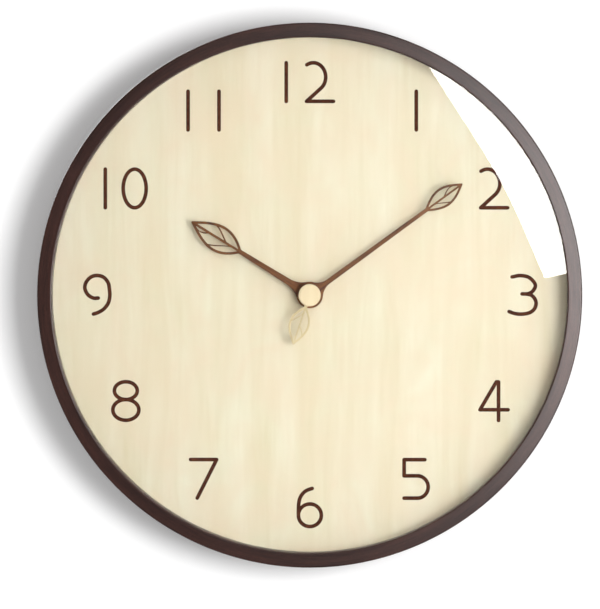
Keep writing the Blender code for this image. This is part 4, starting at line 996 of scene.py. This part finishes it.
def set_screws(name, nodes, facing_of, **size):
    """Copies of one screw in the places of these nodes, as one piece."""
    places, ways, lengths = [], [], []
    for node in nodes:
        centre = middle(node)
        way = facing_of(centre)
        along = [p.dot(way) for p in points_of(node)]
        places.append(centre + way * (max(along) - centre.dot(way)))
        ways.append(way)
        lengths.append(max(along) - min(along))
    points = bpy.data.meshes.new(name)
    points.from_pydata(places, [], [])
    facing = points.attributes.new("facing", "FLOAT_VECTOR", "POINT")
    facing.data.foreach_set("vector", [c for way in ways for c in way])
    pattern = bpy.data.objects.new("screw", screw_mesh(length=max(lengths), **size))
    mesh = run_tree(FACING, points, {"Pattern": pattern, "Material": FINISHES["zinc_steel"]})
    bpy.data.objects.remove(pattern)
    print(name, "length", round(max(lengths) / MM, 1), "mm")
    finish_piece(name, mesh, "clock_body", nodes)


def toward_axis(centre):
    return Vector((CENTRE_X - centre.x, 0, CENTRE_Z - centre.z)).normalized()


def to_wall(centre):
    return Vector((0, 1, 0))


set_screws("clip_screws", [f"clip_screw_{k}" for k in range(1, 5)], toward_axis,
           head_r=2.7 * MM, head_high=1.3 * MM, shaft_r=1.1 * MM)
set_screws("hanger_screws", [f"hanger_screw_{k}" for k in range(1, 3)], to_wall,
           head_r=2.9 * MM, head_high=1.2 * MM, shaft_r=1.4 * MM)

# %% [markdown]
# ## The cell
# A dry cell is a steel can in a printed sleeve. The sleeve is shrunk over both ends, so a collar
# of it shows round the positive cap and round the negative plate.

# %% Battery
cell_low, cell_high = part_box("battery")
cell_r = (cell_high.z - cell_low.z) / 2
cell_centre = middle("battery")
nub_r, nub_high, collar = 2.75 * MM, 1.3 * MM, 1.1 * MM
dish, recess, cell_round = 0.15 * MM, 0.4 * MM, 0.5 * MM
left, right = cell_low.x, cell_high.x - nub_high
plate_r = cell_r - 2 * collar
corners = [(0, left + dish), (plate_r, left + dish), (plate_r, left), (cell_r, left),
           (cell_r, right - cell_r), (cell_r, right), (cell_r - collar, right),
           (cell_r - collar, right - recess), (nub_r, right - recess), (nub_r, cell_high.x), (0, cell_high.x)]
rounded = [p for p in soften(corners, cell_round)[1:] if p[0] > 0.2 * MM]
cell_mesh = turned_mesh("cell", [corners[0]] + rounded + [corners[-1]], axle=(0, 0))
cell_mesh.transform(Matrix.Translation((0, cell_centre.y, cell_centre.z))
                    @ Matrix.Rotation(math.radians(-90), 4, "Z"))
for finish in (FINISHES["battery_wrap"], FINISHES["zinc_steel"], CELL_BAND):
    cell_mesh.materials.append(finish)
for face in cell_mesh.polygons:
    x, y, z = face.center
    reach = math.hypot(y - cell_centre.y, z - cell_centre.z)
    bare = reach < cell_r - collar * (2 if x < 0 else 1) or x > right
    face.material_index = 1 if bare else 2 if x > right - cell_r else 0
finish_piece("cell", cell_mesh, "battery_body", ["battery"])

# %% [markdown]
# ## The studio
# The clock hangs on a plain white wall. The wall only shows to the camera from its front, and it has a
# round hole behind the clock, so views from behind see the clock's back. One large soft lamp stands to
# the right and throws the shadow on the wall to the left. A second lamp in the same place lights only
# the wall, which keeps the wall whiter than the dial, and the room around gives an even light.

# %% Wall
def stage_mesh(name, points, material, faces=None):
    """A piece of the studio, not of the clock: one face through all the points, or the given faces."""
    mesh = bpy.data.meshes.new(name)
    mesh.from_pydata(points, [], faces or [list(range(len(points)))])
    mesh.materials.append(material)
    thing = add_object(name, mesh)
    return thing


def bare_material(name):
    """A material whose shader is still to be chosen, and its node tree."""
    material, tree, shader = new_material(name)
    tree.nodes.remove(shader)
    return material, tree


def wall_paint():
    """White paint on the side that looks forwards, and nothing on the other."""
    material, tree = bare_material("white wall")
    paint = add_node(tree, "ShaderNodeBsdfDiffuse", Color=(0.98, 0.98, 0.98, 1))
    clear = add_node(tree, "ShaderNodeBsdfTransparent")
    side = add_node(tree, "ShaderNodeNewGeometry")
    surface_of_two(tree, side.outputs["Backfacing"], paint.outputs[0], clear.outputs[0])
    return material


WALL_REACH = 4.0
HOLE_R = RIM_R - LEAST_WALL
WALL_GAP = 0.2 * MM
wall_y = rim_high.y + WALL_GAP
around = [(math.sin(math.radians(t)), math.cos(math.radians(t))) for t in range(0, 360, 5)]
wall_points = [(CENTRE_X + reach * x, wall_y, CENTRE_Z + reach * z)
               for reach in (HOLE_R, WALL_REACH) for x, z in around]
wall = stage_mesh("wall", wall_points, wall_paint(), band_faces(len(around)))
wall.visible_glossy = False
wall.visible_shadow = False

# %% Lamps and the light of the room
DIAL_CENTRE = Vector((CENTRE_X, DIAL_FRONT, CENTRE_Z))
KEY_PLACE = Vector((0.75, -2.0, 0.0))
KEY_SIZE = 0.62


def area_lamp(name, place, size, power):
    """A square lamp that is aimed at the dial's centre, at a place counted from there."""
    lamp = add_object(name, bpy.data.lights.new(name, "AREA"))
    lamp.data.shape = "SQUARE"
    lamp.data.size = size
    lamp.data.energy = power
    lamp.location = DIAL_CENTRE + Vector(place)
    aim(lamp, DIAL_CENTRE)
    return lamp


area_lamp("key lamp", KEY_PLACE, KEY_SIZE, 22.5).visible_glossy = False
wall_only = bpy.data.collections.new("wall only")
wall_only.objects.link(wall)
area_lamp("key lamp on the wall", KEY_PLACE, KEY_SIZE, 9).light_linking.receiver_collection = wall_only
area_lamp("lamp behind", (-1.0, 1.8, 0.9), 1.0, 22)


def room_light(strength, mirrored, sky):
    """Even light of this strength, except that the front of the room looks nearly dark in a mirror.

    The camera sees the sky's own level behind everything.
    """
    world = bpy.data.worlds.new("room")
    bpy.context.scene.world = world
    world.use_nodes = True
    tree = world.node_tree
    background = tree.nodes["Background"]
    path = add_node(tree, "ShaderNodeLightPath")
    where = add_node(tree, "ShaderNodeTexCoord")
    parts = add_node(tree, "ShaderNodeSeparateXYZ")
    front = add_node(tree, "ShaderNodeMapRange")
    set_inputs(front, {"From Min": -0.2, "From Max": 0.2, "To Min": mirrored, "To Max": strength})
    level = add_node(tree, "ShaderNodeMix", data_type="FLOAT")
    level.inputs[2].default_value = strength
    final = add_node(tree, "ShaderNodeMix", data_type="FLOAT")
    final.inputs[3].default_value = sky
    wire(tree, (where.outputs["Generated"], parts.inputs[0]), (parts.outputs["Y"], front.inputs["Value"]),
         (path.outputs["Is Glossy Ray"], level.inputs[0]), (front.outputs["Result"], level.inputs[3]),
         (path.outputs["Is Camera Ray"], final.inputs[0]), (level.outputs[0], final.inputs[2]),
         (final.outputs[0], background.inputs["Strength"]))
    background.inputs["Color"].default_value = (1, 1, 1, 1)


room_light(strength=0.64, mirrored=0.03, sky=1.0)

# %% [markdown]
# ## The reflection in the glass, and the sheen on the rim
# The pane mirrors the corner of a tall soft box that stands in front, to the right. The card is
# laid out backwards: for each point of the pane where its edge should show, the mirrored ray from the
# camera is followed to the card's own distance. A second card, wholly outside the pane, gives the rim's
# right side its sheen. Only mirroring surfaces see the cards.

# %% Soft boxes as cards
def glowing(name, strength):
    material, tree = bare_material(name)
    light = add_node(tree, "ShaderNodeEmission", Strength=strength)
    tree.links.new(light.outputs[0], tree.nodes["Material Output"].inputs["Surface"])
    return material


CARD_DISTANCE = 0.5
CARD_EDGE = [(66.3, 124.8), (104.8, 63.3), (129.5, 9.4)]
CARD_REST = [(148.0, 13.5), (148.0, 75.0), (100.0, 125.0), (60.0, 137.0)]
SHEEN_CARD = [(152.0, -110.0), (520.0, -130.0), (520.0, 150.0), (152.0, 120.0)]


def mirrored_place(x, z):
    """Where the ray mirrored at this point of the pane, in mm from the dial's centre, meets the card."""
    on_glass = Vector((CENTRE_X + x * MM, GLASS_FRONT, CENTRE_Z + z * MM))
    ray = on_glass - camera.location
    ray.y = -ray.y
    return on_glass + ray * (CARD_DISTANCE / abs(ray.y))


def mirror_card(name, outline, strength):
    """A glowing card that only mirroring surfaces see, covering this outline of the pane's plane."""
    places = [mirrored_place(x, z) for x, z in outline]
    card = stage_mesh(name, places, glowing(name, strength))
    for way in ("camera", "diffuse", "transmission", "shadow"):
        setattr(card, f"visible_{way}", False)
    print(name, "at y", round(places[0].y, 2))


mirror_card("soft box in the pane", through(CARD_EDGE) + CARD_REST, strength=22.0)
mirror_card("soft box on the rim", SHEEN_CARD, strength=13.0)
